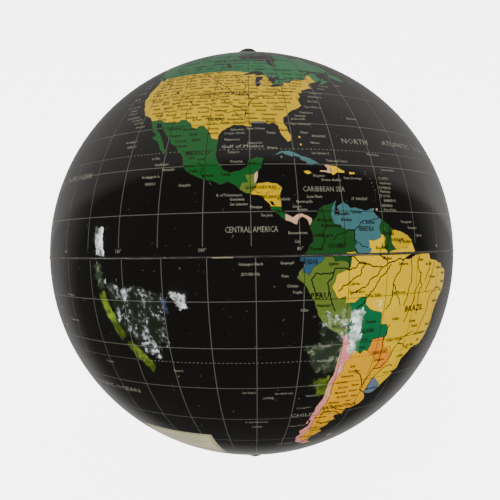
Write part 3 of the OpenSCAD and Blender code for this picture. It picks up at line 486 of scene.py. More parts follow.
# Crowded rows of town names: "latitude first-longitude last-longitude names", spread along the row
TOWN_ROWS = """
48.3 -121.5 -98 Bellingham, Spokane, Kalispell, Havre, Williston, Minot, Grand Forks;
47 -121.5 -92 Seattle, Yakima, Great Falls, Glendive, Bismarck, Jamestown, Duluth;
45.7 -121.3 -69 Portland, Pendleton, Butte, Billings, Miles City, Aberdeen, St. Cloud, Eau Claire,
  Marquette, Ottawa, Augusta;
44.5 -121.4 -71 Eugene, Bend, Salmon, Bozeman, Sheridan, Rapid City, Huron, Minneapolis, Green Bay,
  Bay City, Barrie, Burlington, Portland;
43.3 -121.8 -72 Medford, Burns, Boise, Pocatello, Lander, Casper, Pierre, Sioux Falls, Madison, Lansing,
  London, Syracuse, Boston;
42.1 -121.9 -73 Klamath Falls, Winnemucca, Twin Falls, Rock Springs, Scottsbluff, Valentine, Sioux City,
  Waterloo, Chicago, Buffalo, Hartford;
40.9 -122 -74 Redding, Elko, Salt Lake City, Laramie, Cheyenne, North Platte, Omaha, Des Moines, Peoria,
  Toledo, Cleveland, New York;
39.7 -121.5 -75.5 Chico, Reno, Ely, Provo, Grand Junction, Denver, Goodland, Salina, Kansas City,
  Springfield, Indianapolis, Columbus, Pittsburgh, Philadelphia;
38.5 -120.5 -76.8 Sacramento, Tonopah, Cedar City, Moab, Pueblo, Garden City, Wichita, Jefferson City,
  St. Louis, Louisville, Cincinnati, Charleston, Washington;
37.3 -120 -77.3 Fresno, Bishop, Las Vegas, Kanab, Durango, Alamosa, Dodge City, Enid, Joplin, Cairo,
  Evansville, Lexington, Roanoke, Richmond;
36.1 -119 -77.5 Visalia, Barstow, Kingman, Flagstaff, Gallup, Santa Fe, Amarillo, Tulsa, Fayetteville,
  Jonesboro, Nashville, Knoxville, Durham, Norfolk;
34.9 -118 -78.5 Bakersfield, Needles, Prescott, Albuquerque, Tucumcari, Lawton, Oklahoma City, Fort Smith,
  Memphis, Chattanooga, Greenville, Charlotte;
33.8 -116.5 -80 Los Angeles, Blythe, Phoenix, Socorro, Roswell, Lubbock, Wichita Falls, Texarkana,
  Little Rock, Birmingham, Atlanta, Columbia;
32.6 -114.5 -81.3 Yuma, Tucson, Las Cruces, Carlsbad, Abilene, Dallas, Shreveport, Jackson, Montgomery,
  Macon, Charleston;
31.4 -105 -82.5 El Paso, Pecos, San Angelo, Waco, Alexandria, Hattiesburg, Dothan, Savannah;
30.3 -101 -82.8 Del Rio, Austin, Houston, Beaumont, Mobile, Tallahassee, Jacksonville;
28.9 -99 -96.8 San Antonio, Victoria;
27.7 -98.7 -98.3 Laredo;
28.2 -81.9 -81.2 Orlando;
31.4 -110.5 -107.5 Nogales, Juarez;
29.3 -111.3 -102.5 Hermosillo, Chihuahua, Monclova;
27.7 -110 -101 Guaymas, Parral, Monterrey;
26.2 -108.3 -100.3 Los Mochis, Torreon, Saltillo;
24.8 -106.3 -99.8 Culiacan, Durango, Victoria;
21.6 -104.6 -99.6 Tepic, Leon, Queretaro;
20.1 -104 -98.6 Guadalajara, Morelia, Pachuca;
18.9 -102.6 -97.4 Colima, Mexico City, Puebla;
17.7 -100.5 -93.5 Chilpancingo, Oaxaca, Tuxtla;
20.3 -89.8 -88.4 Merida, Cancun;
-25.8 -65.8 -60 Salta, Formosa;
-28.3 -66.6 -60 Catamarca, Santiago del Estero, Reconquista;
-29.9 -67.6 -60 La Rioja, Cordoba, Santa Fe;
-31.4 -68.6 -61 San Juan, Villa Maria, Parana;
-33 -68.6 -60.5 Mendoza, Mercedes, Rosario;
-34.6 -68.2 -59.4 San Rafael, Rufino, Buenos Aires;
-36.2 -69.6 -58.6 Malargue, Santa Rosa, Azul;
-39.2 -69 -63 Zapala, Neuquen, Bahia Blanca;
-41 -70 -66 Bariloche, San Antonio;
-45.5 -70 -68 Sarmiento, Rivadavia;
51.5 -119 -83 Kamloops, Calgary, Swift Current, Regina, Brandon, Kenora, Thunder Bay, Cochrane;
53.5 -121 -80 Prince George, Edmonton, Saskatoon, The Pas, Norway House, Moosonee;
56.5 -121 -68 Fort St. John, Fort McMurray, Lynn Lake, Churchill, Schefferville;
60 -130 -70 Whitehorse, Hay River, Uranium City, Arviat, Inukjuak, Kuujjuaq;
47.6 -84 -68 Sudbury, Timmins, Quebec, Rimouski;
49.6 -88 -65 Nipigon, Kapuskasing, Chibougamau, Sept-Iles;
67 15 32 Bodo, Kiruna, Murmansk;
64 12 130 Trondheim, Oulu, Arkhangelsk, Pechora, Surgut, Turukhansk, Mirny, Yakutsk;
60.5 7 160 Bergen, Helsinki, Vologda, Perm, Tobolsk, Yeniseysk, Lensk, Aldan, Okhotsk;
56.5 25 125 Riga, Gorky, Kazan, Sverdlovsk, Omsk, Tomsk, Krasnoyarsk, Bratsk, Chita;
52.5 -0.5 135 London, Berlin, Warsaw, Minsk, Voronezh, Orenburg, Pavlodar, Irkutsk, Khabarovsk;
48.8 2 125 Paris, Vienna, Kiev, Volgograd, Aktobe, Karaganda, Hovd, Ulan Bator, Harbin;
44.8 0 127 Bordeaux, Milan, Belgrade, Sochi, Aral, Alma Ata, Urumqi, Hohhot, Changchun;
41 -4.5 123 Madrid, Naples, Istanbul, Tbilisi, Bukhara, Kashgar, Baotou, Mukden;
37 -4 118 Granada, Athens, Konya, Tabriz, Meshed, Hotan, Golmud, Jinan;
34 -4 117 Fez, Damascus, Baghdad, Herat, Srinagar, Lanzhou, Nanking;
30.5 -6 118 Agadir, Tripoli, Cairo, Basra, Kerman, Multan, Lhasa, Chongqing;
26.5 0 117 In Salah, Sebha, Asyut, Riyadh, Jodhpur, Patna, Kunming, Fuzhou;
22.8 -10 108 Atar, Tamanrasset, Aswan, Mecca, Bhopal, Mandalay, Hanoi;
18.5 -12 103 Nouakchott, Timbuktu, Agades, Dongola, Sana, Poona, Vientiane;
14.5 -14 101 Dakar, Bamako, Niamey, Kano, El Obeid, Asmara, Madras, Bangkok;
9.5 -11 48 Conakry, Kumasi, Jos, Moundou, Malakal, Harar;
4.5 10 46 Yaounde, Bangui, Juba, Mogadishu;
0.8 11 42 Libreville, Mbandaka, Kisangani, Kampala, Kismayu;
-3.5 14 39 Brazzaville, Kananga, Tabora, Mombasa;
-7.8 15 39 Luanda, Kamina, Mbeya, Dar es Salaam;
-12 15 39 Huambo, Ndola, Lilongwe, Nampula;
-17 15 37 Ondangwa, Livingstone, Harare, Beira;
-21.5 16 34 Swakopmund, Maun, Bulawayo, Inhambane;
-25 17 31 Luderitz, Gaborone, Pretoria;
-29.2 19 30 Springbok, Bloemfontein, Durban;
-32.2 20 28 Cape Town, East London;
-16.5 125 144 Derby, Wyndham, Daly Waters, Cairns;
-19.8 121 147 Broome, Tennant Creek, Mount Isa, Townsville;
-23.4 116 150 Carnarvon, Newman, Alice Springs, Winton, Rockhampton;
-27.5 116 152 Geraldton, Laverton, Oodnadatta, Charleville, Brisbane;
-31.5 117 151 Perth, Kalgoorlie, Woomera, Bourke, Sydney;
-35 137 149 Adelaide, Mildura, Canberra
"""
# The same for names on land, a little larger
INLAND = """
-89.8 14.9 GUAT., -86.9 15 HONDURAS, -85.2 13 NICARAGUA, -84.2 10 COSTA RICA, -76.4 5.2 Medellin,
-74 5 Bogota, -74.5 8.2 Monteria, -73 7 Bucaramanga, -76.5 2.4 Popayan, -73.9 1 Florencia,
-66.9 9.9 Caracas, -70.3 9.5 Maracaibo, -69.4 8.3 Barinas, -64 7.7 C. Bolivar, -58.7 5.3 GUYANA,
-56 4 SURINAME, -53.4 3.6 FR. GUIANA, -60.8 2.4 Boa Vista, -51.6 0.6 Macapa, -60 -2 Manaus,
-73.6 -2.9 Iquitos, -55 -3.3 Santarem, -48.6 -2.6 Belem, -45 -3.6 Sao Luis, -39.6 -4.6 Fortaleza,
-36.7 -6 Natal, -36.4 -8 Recife, -43 -6.6 Teresina, -68.5 -7 Labrea, -63.4 -9.6 Porto Velho,
-67.8 -8.7 Rio Branco, -56 -9.5 Alta Floresta, -39.7 -12.4 Salvador, -55.8 -15.3 Cuiaba,
-49.2 -16.4 Goiania, -47.6 -17.7 Brasilia, -44 -19.8 Belo Horizonte, -54.6 -20.4 Campo Grande,
-47 -22.5 Sao Paulo, -43.7 -21.6 Rio, -49.8 -25 Curitiba, -51.6 -29.2 Porto Alegre, -41 -18 Vitoria,
-72.3 -13.9 Cusco, -71.6 -15.9 Arequipa, -75.5 -11.3 Huancayo, -68 -15.9 La Paz, -63.4 -15.4 Trinidad,
-64.4 -19.3 Sucre, -64.8 -21.2 Potosi, -57.9 -25 Asuncion, -65 -27.2 Tucuman, -56 -33.3 URUGUAY,
-67.2 -43.7 Rawson, -69 -46.8 Deseado, -70.6 -49.9 Santa Cruz, -3 40 Madrid, 2.5 48 Paris,
10 50 Frankfurt, 12.5 43 Rome, 21 52 Warsaw, 30.5 50 Kiev, 37.5 55.5 Moscow, 33 39.5 Ankara,
44.4 33 Baghdad, 51.5 35.5 Tehran, 45 25 Riyadh, 31 29.8 Cairo, 13 32.5 Tripoli, 3 36 Algiers,
-7 32.5 Marrakesh, 7.5 9 Abuja, 15 12 N'Djamena, 32.5 15.5 Khartoum, 38.7 9 Addis Ababa,
36.8 -1.3 Nairobi, 15.5 -4.4 Kinshasa, 28.3 -15.4 Lusaka, 17 -22.5 Windhoek, 28 -26 Johannesburg,
77 28.5 Delhi, 78.5 17.4 Hyderabad, 88 24 Calcutta, 67 27 Karachi, 69 34.5 Kabul, 116 40 Beijing,
114 30.5 Wuhan, 104 30.7 Chengdu, 113 24 Canton, 107 47.8 Ulan Bator, 126 45.7 Harbin,
83 55 Novosibirsk, 104.3 54 Irkutsk, 129.7 62 Yakutsk, 60.6 56.8 Perm, 100.5 15 Bangkok, 106 12 Saigon,
138 36 Tokyo, 122 -26 Wiluna, 134 -23.7 Alice Springs, 145 -36 Melbourne, 150 -33 Sydney,
146 -22 Longreach, 121 -31 Kalgoorlie, 132.5 -14.5 Katherine
"""


def srgb(red, green, blue):
    """A colour as it looks on a screen, 0 to 255, turned into the linear values that shaders take."""
    out = []
    for value in (red, green, blue):
        c = value / 255
        out.append(c / 12.92 if c <= 0.04045 else ((c + 0.055) / 1.055) ** 2.4)
    return (*out, 1.0)


INKS = {
    "ocean": srgb(15, 14, 12), "usa": srgb(208, 170, 0), "canada": srgb(36, 104, 60),
    "mexico": srgb(22, 84, 34), "colombia": srgb(26, 74, 30), "olive": srgb(94, 114, 42),
    "brazil": srgb(238, 194, 0), "argentina": srgb(240, 172, 0), "paraguay": srgb(240, 146, 26),
    "chile": srgb(236, 146, 138), "bolivia": srgb(18, 104, 60), "ecuador": srgb(48, 84, 108),
    "venezuela": srgb(66, 110, 114), "cuba": srgb(72, 112, 114), "uruguay": srgb(100, 118, 142),
    "cream": srgb(218, 170, 136), "ice": srgb(226, 222, 210),
    "light_line": srgb(94, 92, 83), "dark_line": srgb(18, 16, 8), "coast_line": srgb(40, 36, 22),
    "light_letter": srgb(150, 146, 128), "dark_letter": srgb(26, 18, 4), "label_paper": srgb(226, 218, 172),
}


# ---------------------------------------------------------------- map maths
def pairs(text):
    """A list of (longitude, latitude) from "lon lat, lon lat"."""
    return [tuple(float(v) for v in pair.split()) for pair in text.split(",")]


def rows(text):
    """The entries of a text that semicolons part."""
    return [entry.strip() for entry in text.split(";")]


def on_half(points, north):
    """Print coordinates to the flat plane of one half: the pole in the middle, degrees from it as radius.
    The print is a little lost at the seam, and the southern half is glued on with a small twist."""
    points = np.asarray(points, float)
    sign = 1 if north else -1
    lat = sign * points[:, 1]
    shift, slope, bend = PRINT_SHIFT
    lat = lat + (1 - lat / 90) * (shift + slope * lat + bend * lat * lat)
    lon = np.radians(points[:, 0] + (0 if north else SOUTH_TWIST))
    rho = 90 - lat
    return np.stack([rho * np.cos(lon), rho * np.sin(lon)], axis=1)


def to_ball(flat, north, radius):
    """Points of that plane to places on the ball, in the row frame."""
    flat = np.asarray(flat, float)
    rho = np.radians(np.hypot(flat[:, 0], flat[:, 1]))
    turn = np.arctan2(flat[:, 1], flat[:, 0]) - math.radians(FRONT_LON)
    up = np.cos(rho) * (1 if north else -1)
    local = np.stack([np.sin(rho) * np.cos(turn), np.sin(rho) * np.sin(turn), up], axis=1)
    return np.array(CENTRE) + radius * (local @ BALL_FRAME)


def subdivide(points, step, closed):
    """Straight runs in longitude and latitude, cut to at most step degrees."""
    out = []
    following = points[1:] + points[:1] if closed else points[1:]
    for (x0, y0), (x1, y1) in zip(points, following):
        count = max(1, math.ceil(max(abs(x1 - x0), abs(y1 - y0)) / step))
        out += [(x0 + (x1 - x0) * i / count, y0 + (y1 - y0) * i / count) for i in range(count)]
    return out if closed else out + [points[-1]]


def roughen(points, rng, closed, amount, shortest):
    """Natural wiggles: the middle of each run moves to one side, by up to amount of the run's length, again
    and again, until the runs are shorter than shortest degrees. Runs along a meridian or a parallel are
    surveyed borders and stay straight."""
    following = points[1:] + points[:1] if closed else points[1:]
    out = []

    def split(a, b):
        dx, dy = b[0] - a[0], b[1] - a[1]
        length = math.hypot(dx * math.cos(math.radians(a[1])), dy)
        if length < shortest or dx == 0 or dy == 0:
            return []
        push = rng.uniform(-amount, amount)
        east = (a[0] + b[0]) / 2 - dy * push
        north = (a[1] + b[1]) / 2 + dx * push * math.cos(math.radians(a[1]))
        middle = (east, north)
        return split(a, middle) + [middle] + split(middle, b)

    for a, b in zip(points, following):
        out += [a] + split(a, b)
    return out if closed else out + [points[-1]]


ISLET_CORNERS = 7


def islet(lon, lat, size, rng):
    """A small island: a rough ring of points."""
    ring = []
    for i in range(ISLET_CORNERS):
        angle, reach = i * math.tau / ISLET_CORNERS, size * rng.uniform(0.6, 1.2)
        east = reach * math.cos(angle) / math.cos(math.radians(lat))
        ring.append((lon + east, lat + reach * math.sin(angle)))
    return ring


# Wiggles as (most push, shortest run in degrees), and the longest straight run that is left, in degrees
COAST_WIGGLE = (0.09, 0.7)
BORDER_WIGGLE = (0.06, 0.9)
RIVER_WIGGLE = (0.16, 0.5)
COAST_STEP = 1.5
RIVER_STEP = 1.0


def read_outlines():
    """All outlines with their natural wiggles: lands and countries as (ink, points), lakes and rivers."""
    rng = random.Random(7)

    def coast(text, wiggle=COAST_WIGGLE):
        return subdivide(roughen(pairs(text), rng, True, *wiggle), COAST_STEP, True)

    lands = [("brazil", coast(AMERICAS)), ("canada", coast(EURASIA)), ("olive", coast(AFRICA)),
             ("ice", coast(GREENLAND)), ("paraguay", coast(AUSTRALIA)), ("ice", coast(ANTARCTICA))]
    for row in rows(ISLANDS):
        ink, outline = row.split(":")
        lands.append((ink, coast(outline)))
    for entry in ISLETS.split(","):
        ink, lon, lat, size = entry.split()
        lands.append((ink, islet(float(lon), float(lat), float(size), rng)))
    countries = []
    for row in rows(COUNTRIES):
        ink, outline = row.split(":")
        countries.append((ink, coast(outline, BORDER_WIGGLE)))
    lakes = [coast(row) for row in rows(LAKES)]
    rivers = []
    for row in rows(RIVERS):
        course = roughen(pairs(row), rng, False, *RIVER_WIGGLE)
        rivers.append(subdivide(course, RIVER_STEP, False))
    return lands, countries, lakes, rivers


# Points tested at once against an outline, which keeps memory small
BATCH = 3000


class Outline:
    """A closed outline on the flat plane, ready for asking which points it holds."""

    def __init__(self, points):
        self.points = points
        self.low, self.high = points.min(axis=0), points.max(axis=0)
        self.start, self.end = points, np.roll(points, -1, axis=0)
        rise = self.end[:, 1] - self.start[:, 1]
        self.slope = (self.end[:, 0] - self.start[:, 0]) / np.where(rise == 0, 1, rise)

    def holds(self, flat, among):
        """Which of the points numbered in among lie inside, by counting crossings."""
        spot = flat[among]
        near = among[((spot >= self.low) & (spot <= self.high)).all(axis=1)]
        kept = []
        for part in np.array_split(near, len(near) // BATCH + 1):
            x, y = flat[part, 0][:, None], flat[part, 1][:, None]
            crosses = (self.start[:, 1] > y) != (self.end[:, 1] > y)
            left = x < self.start[:, 0] + self.slope * (y - self.start[:, 1])
            kept.append(part[(crosses & left).sum(axis=1) % 2 == 1])
        return np.concatenate(kept)


class Half:
    """The print of one half of the ball, on its flat plane."""

    def __init__(self, north, lands, countries, lakes):
        self.north = north
        self.lands = [(ink, Outline(on_half(points, north))) for ink, points in lands]
        self.countries = [(ink, Outline(on_half(points, north))) for ink, points in countries]
        self.lakes = [Outline(on_half(points, north)) for points in lakes]

    def region(self, flat):
        """A number for the region under each point: -1 for water, else the place in the list of regions."""
        found = np.full(len(flat), -1)
        everywhere = np.arange(len(flat))
        for i, (_, outline) in enumerate(self.lands):
            hit = outline.holds(flat, everywhere)
            found[hit[found[hit] < 0]] = len(self.countries) + i
        mainland = np.nonzero((found >= 0) & (found < len(self.countries) + MAINLANDS))[0]
        for i, (_, outline) in enumerate(self.countries):
            if not len(mainland):
                break
            hit = outline.holds(flat, mainland)
            found[hit] = i
            mainland = np.setdiff1d(mainland, hit)
        for outline in self.lakes:
            found[outline.holds(flat, everywhere)] = -1
        return found

    def ink(self, region):
        inks = [ink for ink, _ in self.countries] + [ink for ink, _ in self.lands]
        return "ocean" if region < 0 else inks[region]

    def outlines(self):
        named = [outline for _, outline in self.lands + self.countries]
        return [outline.points for outline in named + self.lakes]


# ---------------------------------------------------------------- materials
def new_material(name):
    mat = bpy.data.materials.new(name)
    mat.use_nodes = True
    tree = mat.node_tree
    return mat, tree, tree.nodes["Principled BSDF"]


def add(tree, kind, inputs=None, **settings):
    """A node with its settings, and its inputs given by name: a value, or an output socket to link."""
    node = tree.nodes.new(kind)
    for key, value in settings.items():
        setattr(node, key, value)
    for key, value in (inputs or {}).items():
        if isinstance(value, bpy.types.NodeSocket):
            tree.links.new(value, node.inputs[key])
        else:
            node.inputs[key].default_value = value
    return node


def object_noise(tree, scale, detail=3.0, stretch=(1, 1, 1), rough=0.55):
    """Noise fixed to the piece, with its scale in features a metre."""
    coord = add(tree, "ShaderNodeTexCoord")
    mapping = add(tree, "ShaderNodeMapping", {"Vector": coord.outputs["Object"], "Scale": stretch})
    return add(tree, "ShaderNodeTexNoise", {
        "Vector": mapping.outputs[0], "Scale": scale, "Detail": detail, "Roughness": rough,
    }).outputs["Fac"]


def ramp(tree, value, low, high, out_low, out_high):
    """value from low to high, spread over out_low to out_high."""
    return add(tree, "ShaderNodeMapRange", {
        "Value": value, "From Min": low, "From Max": high, "To Min": out_low, "To Max": out_high,
    }).outputs[0]


def mix_colour(tree, factor, first, second, blend="MIX"):
    return add(tree, "ShaderNodeMix", {"Factor": factor, "A": first, "B": second},
               data_type="RGBA", blend_type=blend).outputs["Result"]


def multiply(tree, colour, factor):
    """colour times a grey factor."""
    return mix_colour(tree, 1.0, colour, factor, "MULTIPLY")


def bump(tree, shader, height, strength, distance):
    node = add(tree, "ShaderNodeBump", {"Height": height, "Strength": strength, "Distance": distance})
    tree.links.new(node.outputs[0], shader.inputs["Normal"])


VARNISH_IOR = 1.48
# The clear coat on the wooden base
LACQUER = 0.35
LACQUER_ROUGHNESS = 0.18


def print_material(ink):
    """Ink under varnish: a faint dot grain and patchy density, dust, and very fine scratches in the gloss."""
    mat, tree, shader = new_material("print_" + ink)
    density = ramp(tree, object_noise(tree, scale=26, detail=4), 0.3, 0.7, 0.93, 1.06)
    grain = ramp(tree, object_noise(tree, scale=1500, detail=1), 0.35, 0.65, 0.93, 1.06)
    colour = multiply(tree, multiply(tree, INKS[ink], density), grain)
    specks = ramp(tree, object_noise(tree, scale=420, detail=2, rough=0.7), 0.71, 0.76, 0.0, 0.55)
    colour = mix_colour(tree, specks, colour, srgb(120, 116, 106))
    tree.links.new(colour, shader.inputs["Base Color"])
    wear = ramp(tree, object_noise(tree, scale=90, detail=5, stretch=(1, 3, 1)), 0.35, 0.75, 0.03, 0.075)
    tree.links.new(wear, shader.inputs["Roughness"])
    orange_peel = object_noise(tree, scale=60, detail=3)
    bump(tree, shader, orange_peel, strength=0.06, distance=0.3 * MM)
    shader.inputs["IOR"].default_value = VARNISH_IOR
    return mat


def metal_material(name, colour, roughness, grain_scale, stretch=(1, 1, 1)):
    """Brushed or satin metal: fine grain along the piece, small scratches and faint tarnish."""
    mat, tree, shader = new_material(name)
    shader.inputs["Metallic"].default_value = 1.0
    tarnish = ramp(tree, object_noise(tree, scale=55, detail=4), 0.35, 0.75, 0.82, 1.05)
    tree.links.new(multiply(tree, colour, tarnish), shader.inputs["Base Color"])
    grain = object_noise(tree, grain_scale, detail=3, stretch=stretch)
    satin = ramp(tree, grain, 0.3, 0.7, roughness * 0.75, roughness * 1.3)
    tree.links.new(satin, shader.inputs["Roughness"])
    bump(tree, shader, grain, strength=0.18, distance=0.12 * MM)
    return mat


def plain_material(name, colour, roughness, grain_scale, depth=0.2 * MM, spread=0.12):
    """Moulded plastic, board, glue or felt: colour variation and a fine surface grain."""
    mat, tree, shader = new_material(name)
    tone = ramp(tree, object_noise(tree, grain_scale / 8, detail=4), 0.3, 0.7, 1 - spread, 1 + spread)
    tree.links.new(multiply(tree, colour, tone), shader.inputs["Base Color"])
    grain = object_noise(tree, grain_scale, detail=4)
    dull = ramp(tree, grain, 0.3, 0.7, roughness * 0.88, roughness * 1.08)
    tree.links.new(dull, shader.inputs["Roughness"])
    bump(tree, shader, grain, strength=0.35, distance=depth)
    return mat


def wood_material():
    """Dark turned walnut: long grain across the disc, pores, and a satin lacquer."""
    mat, tree, shader = new_material("walnut")
    warp = object_noise(tree, scale=22, detail=3, stretch=(1, 0.25, 1))
    coord = add(tree, "ShaderNodeTexCoord")
    shift = add(tree, "ShaderNodeVectorMath", {0: coord.outputs["Object"], 1: warp}, operation="ADD")
    rings = add(tree, "ShaderNodeTexWave", {
        "Vector": shift.outputs[0], "Scale": 34.0, "Distortion": 5.0, "Detail": 4.0, "Detail Scale": 1.6,
    }, wave_type="BANDS", bands_direction="X").outputs["Fac"]
    pores = object_noise(tree, scale=900, detail=3, stretch=(1, 0.06, 1))
    grain = mix_colour(tree, ramp(tree, rings, 0.15, 0.9, 0, 1), srgb(38, 20, 11), srgb(88, 50, 27))
    colour = multiply(tree, grain, ramp(tree, pores, 0.35, 0.6, 0.55, 1.05))
    tree.links.new(colour, shader.inputs["Base Color"])
    tree.links.new(ramp(tree, pores, 0.3, 0.7, 0.42, 0.26), shader.inputs["Roughness"])
    bump(tree, shader, pores, strength=0.25, distance=0.2 * MM)
    shader.inputs["Coat Weight"].default_value = LACQUER
    shader.inputs["Coat Roughness"].default_value = LACQUER_ROUGHNESS
    return mat


# ---------------------------------------------------------------- mesh helpers
def make_object(name, verts, faces, materials, face_materials=None):
    """A smooth mesh object in the scene. face_materials gives each face's place in the list of materials."""
    mesh = bpy.data.meshes.new(name)
    mesh.from_pydata([tuple(v) for v in verts], [], [tuple(f) for f in faces])
    for mat in materials:
        mesh.materials.append(mat)
    if face_materials is not None:
        mesh.polygons.foreach_set("material_index", np.asarray(face_materials, dtype=np.int32))
    mesh.polygons.foreach_set("use_smooth", np.full(len(mesh.polygons), True))
    mesh.update()
    obj = bpy.data.objects.new(name, mesh)
    bpy.context.scene.collection.objects.link(obj)
    return obj


def ring_points(rho, step):
    """Points round the pole at rho degrees from it, about step degrees apart. Every other ring is turned by
    half a step."""
    count = max(12, round(360 * math.sin(math.radians(rho)) / step))
    angles = (np.arange(count) + 0.5 * (round(rho / step) % 2)) * math.tau / count
    return np.stack([rho * np.cos(angles), rho * np.sin(angles)], axis=1)


def triangulate(points, edges):
    """Delaunay triangles of the plane points that keep the given edges."""
    verts, _, faces, *_ = geometry.delaunay_2d_cdt([Vector(p) for p in points], edges, [], 0, 1e-5, False)
    return np.array([tuple(v) for v in verts]), np.array([tuple(f) for f in faces])


def chain(points, start):
    """Edges round a closed run of points whose first index is start."""
    count = len(points)
    return [(start + i, start + (i + 1) % count) for i in range(count)]


def keep_between(verts, faces, low, high):
    """Only the faces whose middle lies between two circles about the pole."""
    middle = verts[faces].mean(axis=1)
    rho = np.hypot(middle[:, 0], middle[:, 1])
    return faces[(rho > low) & (rho < high)]


# Spacing of the shell's points, in degrees: along the rim, round the pole hole, and over each face
RIM_STEP = 1.0
HOLE_STEP = 0.5
OUTER_STEP = 1.5
INNER_STEP = 4
# Outlines are followed this far past the rim, in degrees
PAST_RIM = 4
# Chords of the hole's ring lie a little inside its circle
CHORD = 0.998


def build_half_shell(half, inks):
    """A closed half shell. Its outer face is cut along every coast and border, so that each region has its
    own ink."""
    outer_rho = 90 - EDGE_LAT
    rim = ring_points(outer_rho, RIM_STEP)
    hole = ring_points(HOLE_ANGLE, HOLE_STEP)
    points, edges = [*rim], chain(rim, 0)
    edges += chain(hole, len(points))
    points += [*hole]
    for outline in half.outlines():
        near = np.hypot(outline[:, 0], outline[:, 1]) < outer_rho + PAST_RIM
        for i, first in enumerate(near):
            after = (i + 1) % len(outline)
            if first and near[after]:
                edges.append((len(points), len(points) + 1))
                points += [outline[i], outline[after]]
    for rho in np.arange(4, 89.5, OUTER_STEP):
        points += [*ring_points(rho, OUTER_STEP)]
    verts, faces = triangulate(points, edges)
    faces = keep_between(verts, faces, HOLE_ANGLE * CHORD, outer_rho)
    regions = half.region(verts[faces].mean(axis=1))
    tints = [inks.index(half.ink(r)) for r in regions]

    # The rims are the edges with one face
    counts = {}
    for f in faces:
        for a, b in zip(f, np.roll(f, -1)):
            key = (min(a, b), max(a, b))
            counts[key] = counts.get(key, 0) + 1
    rims = [key for key, n in counts.items() if n == 1]
    used = sorted({v for key in rims for v in key})
    place = {v: i for i, v in enumerate(used)}
    inner_points = [verts[v] for v in used]
    inner_edges = [(place[a], place[b]) for a, b in rims]
    for rho in np.arange(6, 88, INNER_STEP):
        inner_points += [*ring_points(rho, INNER_STEP)]
    inner_verts, inner_faces = triangulate(inner_points, inner_edges)
    inner_faces = keep_between(inner_verts, inner_faces, HOLE_ANGLE * CHORD, outer_rho)

    outer_xyz = to_ball(verts, half.north, PRINT_R)
    inner_xyz = to_ball(inner_verts, half.north, INNER_R)
    offset = len(outer_xyz)
    turned = not half.north
    all_faces = [tuple(f[::-1]) if turned else tuple(f) for f in faces]
    all_faces += [tuple(i + offset for i in (f if turned else f[::-1])) for f in inner_faces]
    directed = set()
    for f in all_faces[:len(faces)]:
        directed.update(zip(f, f[1:] + f[:1]))
    for a, b in rims:
        if (a, b) not in directed:
            a, b = b, a
        all_faces.append((b, a, offset + place[a], offset + place[b]))
    board = len(inks)
    tints += [board] * (len(all_faces) - len(faces))
    mats = [MATS[ink] for ink in inks] + [MATS["board"]]
    coords = np.concatenate([outer_xyz, inner_xyz])
    obj = make_object("map_ball_" + side_name(half), coords, all_faces, mats, tints)

    # True sphere normals on both faces, flat ones on the rims
    mesh = obj.data
    normals = np.zeros((len(mesh.loops), 3))
    outward = coords - np.array(CENTRE)
    radial = outward / np.linalg.norm(outward, axis=1)[:, None]
    for index, poly in enumerate(mesh.polygons):
        for loop in poly.loop_indices:
            if index < len(faces):
                normals[loop] = radial[mesh.loops[loop].vertex_index]
            elif index < len(faces) + len(inner_faces):
                normals[loop] = -radial[mesh.loops[loop].vertex_index]
            else:
                normals[loop] = poly.normal
    mesh.normals_split_custom_set(normals.tolist())
    return obj


class Ribbons:
    """Printed lines: flat strips that lie on the print, gathered into one mesh."""

    def __init__(self):
        self.verts, self.faces, self.tints = [], [], []

    def quad(self, corners, tint):
        start = len(self.verts)
        self.verts += corners
        self.faces.append(tuple(range(start, start + 4)))
        self.tints.append(tint)

    def strip(self, flat, width, north, tints, lift=LINE_LIFT):
        """One strip along plane points. tints gives each run's ink, or None to leave the run out."""
        xyz = to_ball(flat, north, PRINT_R + lift)
        along = np.gradient(xyz, axis=0)
        out = xyz - np.array(CENTRE)
        side = np.cross(along, out)
        side *= width * 0.5 / np.maximum(np.linalg.norm(side, axis=1)[:, None], 1e-12)
        right, left = xyz - side, xyz + side
        for i, tint in enumerate(tints):
            if tint is not None:
                self.quad([left[i], left[i + 1], right[i + 1], right[i]], tint)

    def build(self, name, mats):
        return make_object(name, self.verts, self.faces, mats, self.tints)


def middles(flat):
    return (flat[1:] + flat[:-1]) / 2


def on_this_half(flat, margin=0.0):
    return np.hypot(flat[:, 0], flat[:, 1]) < 90 - EDGE_LAT - margin


# ---------------------------------------------------------------- printed lines
GRID_WIDTH = 0.36 * MM
LAND_GRID_WIDTH = 0.24 * MM
RIVER_WIDTH = 0.56 * MM
BORDER_WIDTH = 0.16 * MM
COAST_WIDTH = 0.2 * MM
# Dashed lines: runs in each dash and its gap, runs in the dash alone, and how much wider they are
DASH_PERIOD = 4
DASH_RUNS = 2
DASH_WIDER = 1.2
# Meridians start above the degree numbers along the equator, and most stop short of the pole
NUMBER_BAND = 3.2
LAST_LAT = 80
LAST_LAT_OF_FOUR = 87
TROPIC, POLAR_CIRCLE = 23.45, 66.55
# Heights above the print: coasts, borders, and rivers as part of LINE_LIFT
COAST_LIFT = 0.016 * MM
BORDER_LIFT = 0.018 * MM
RIVER_LIFT = 0.8
# Rivers are finer on the northern half
NORTH_RIVERS = 0.66
# How far to each side of a border its two regions are looked up, in degrees
BORDER_REACH = 0.12


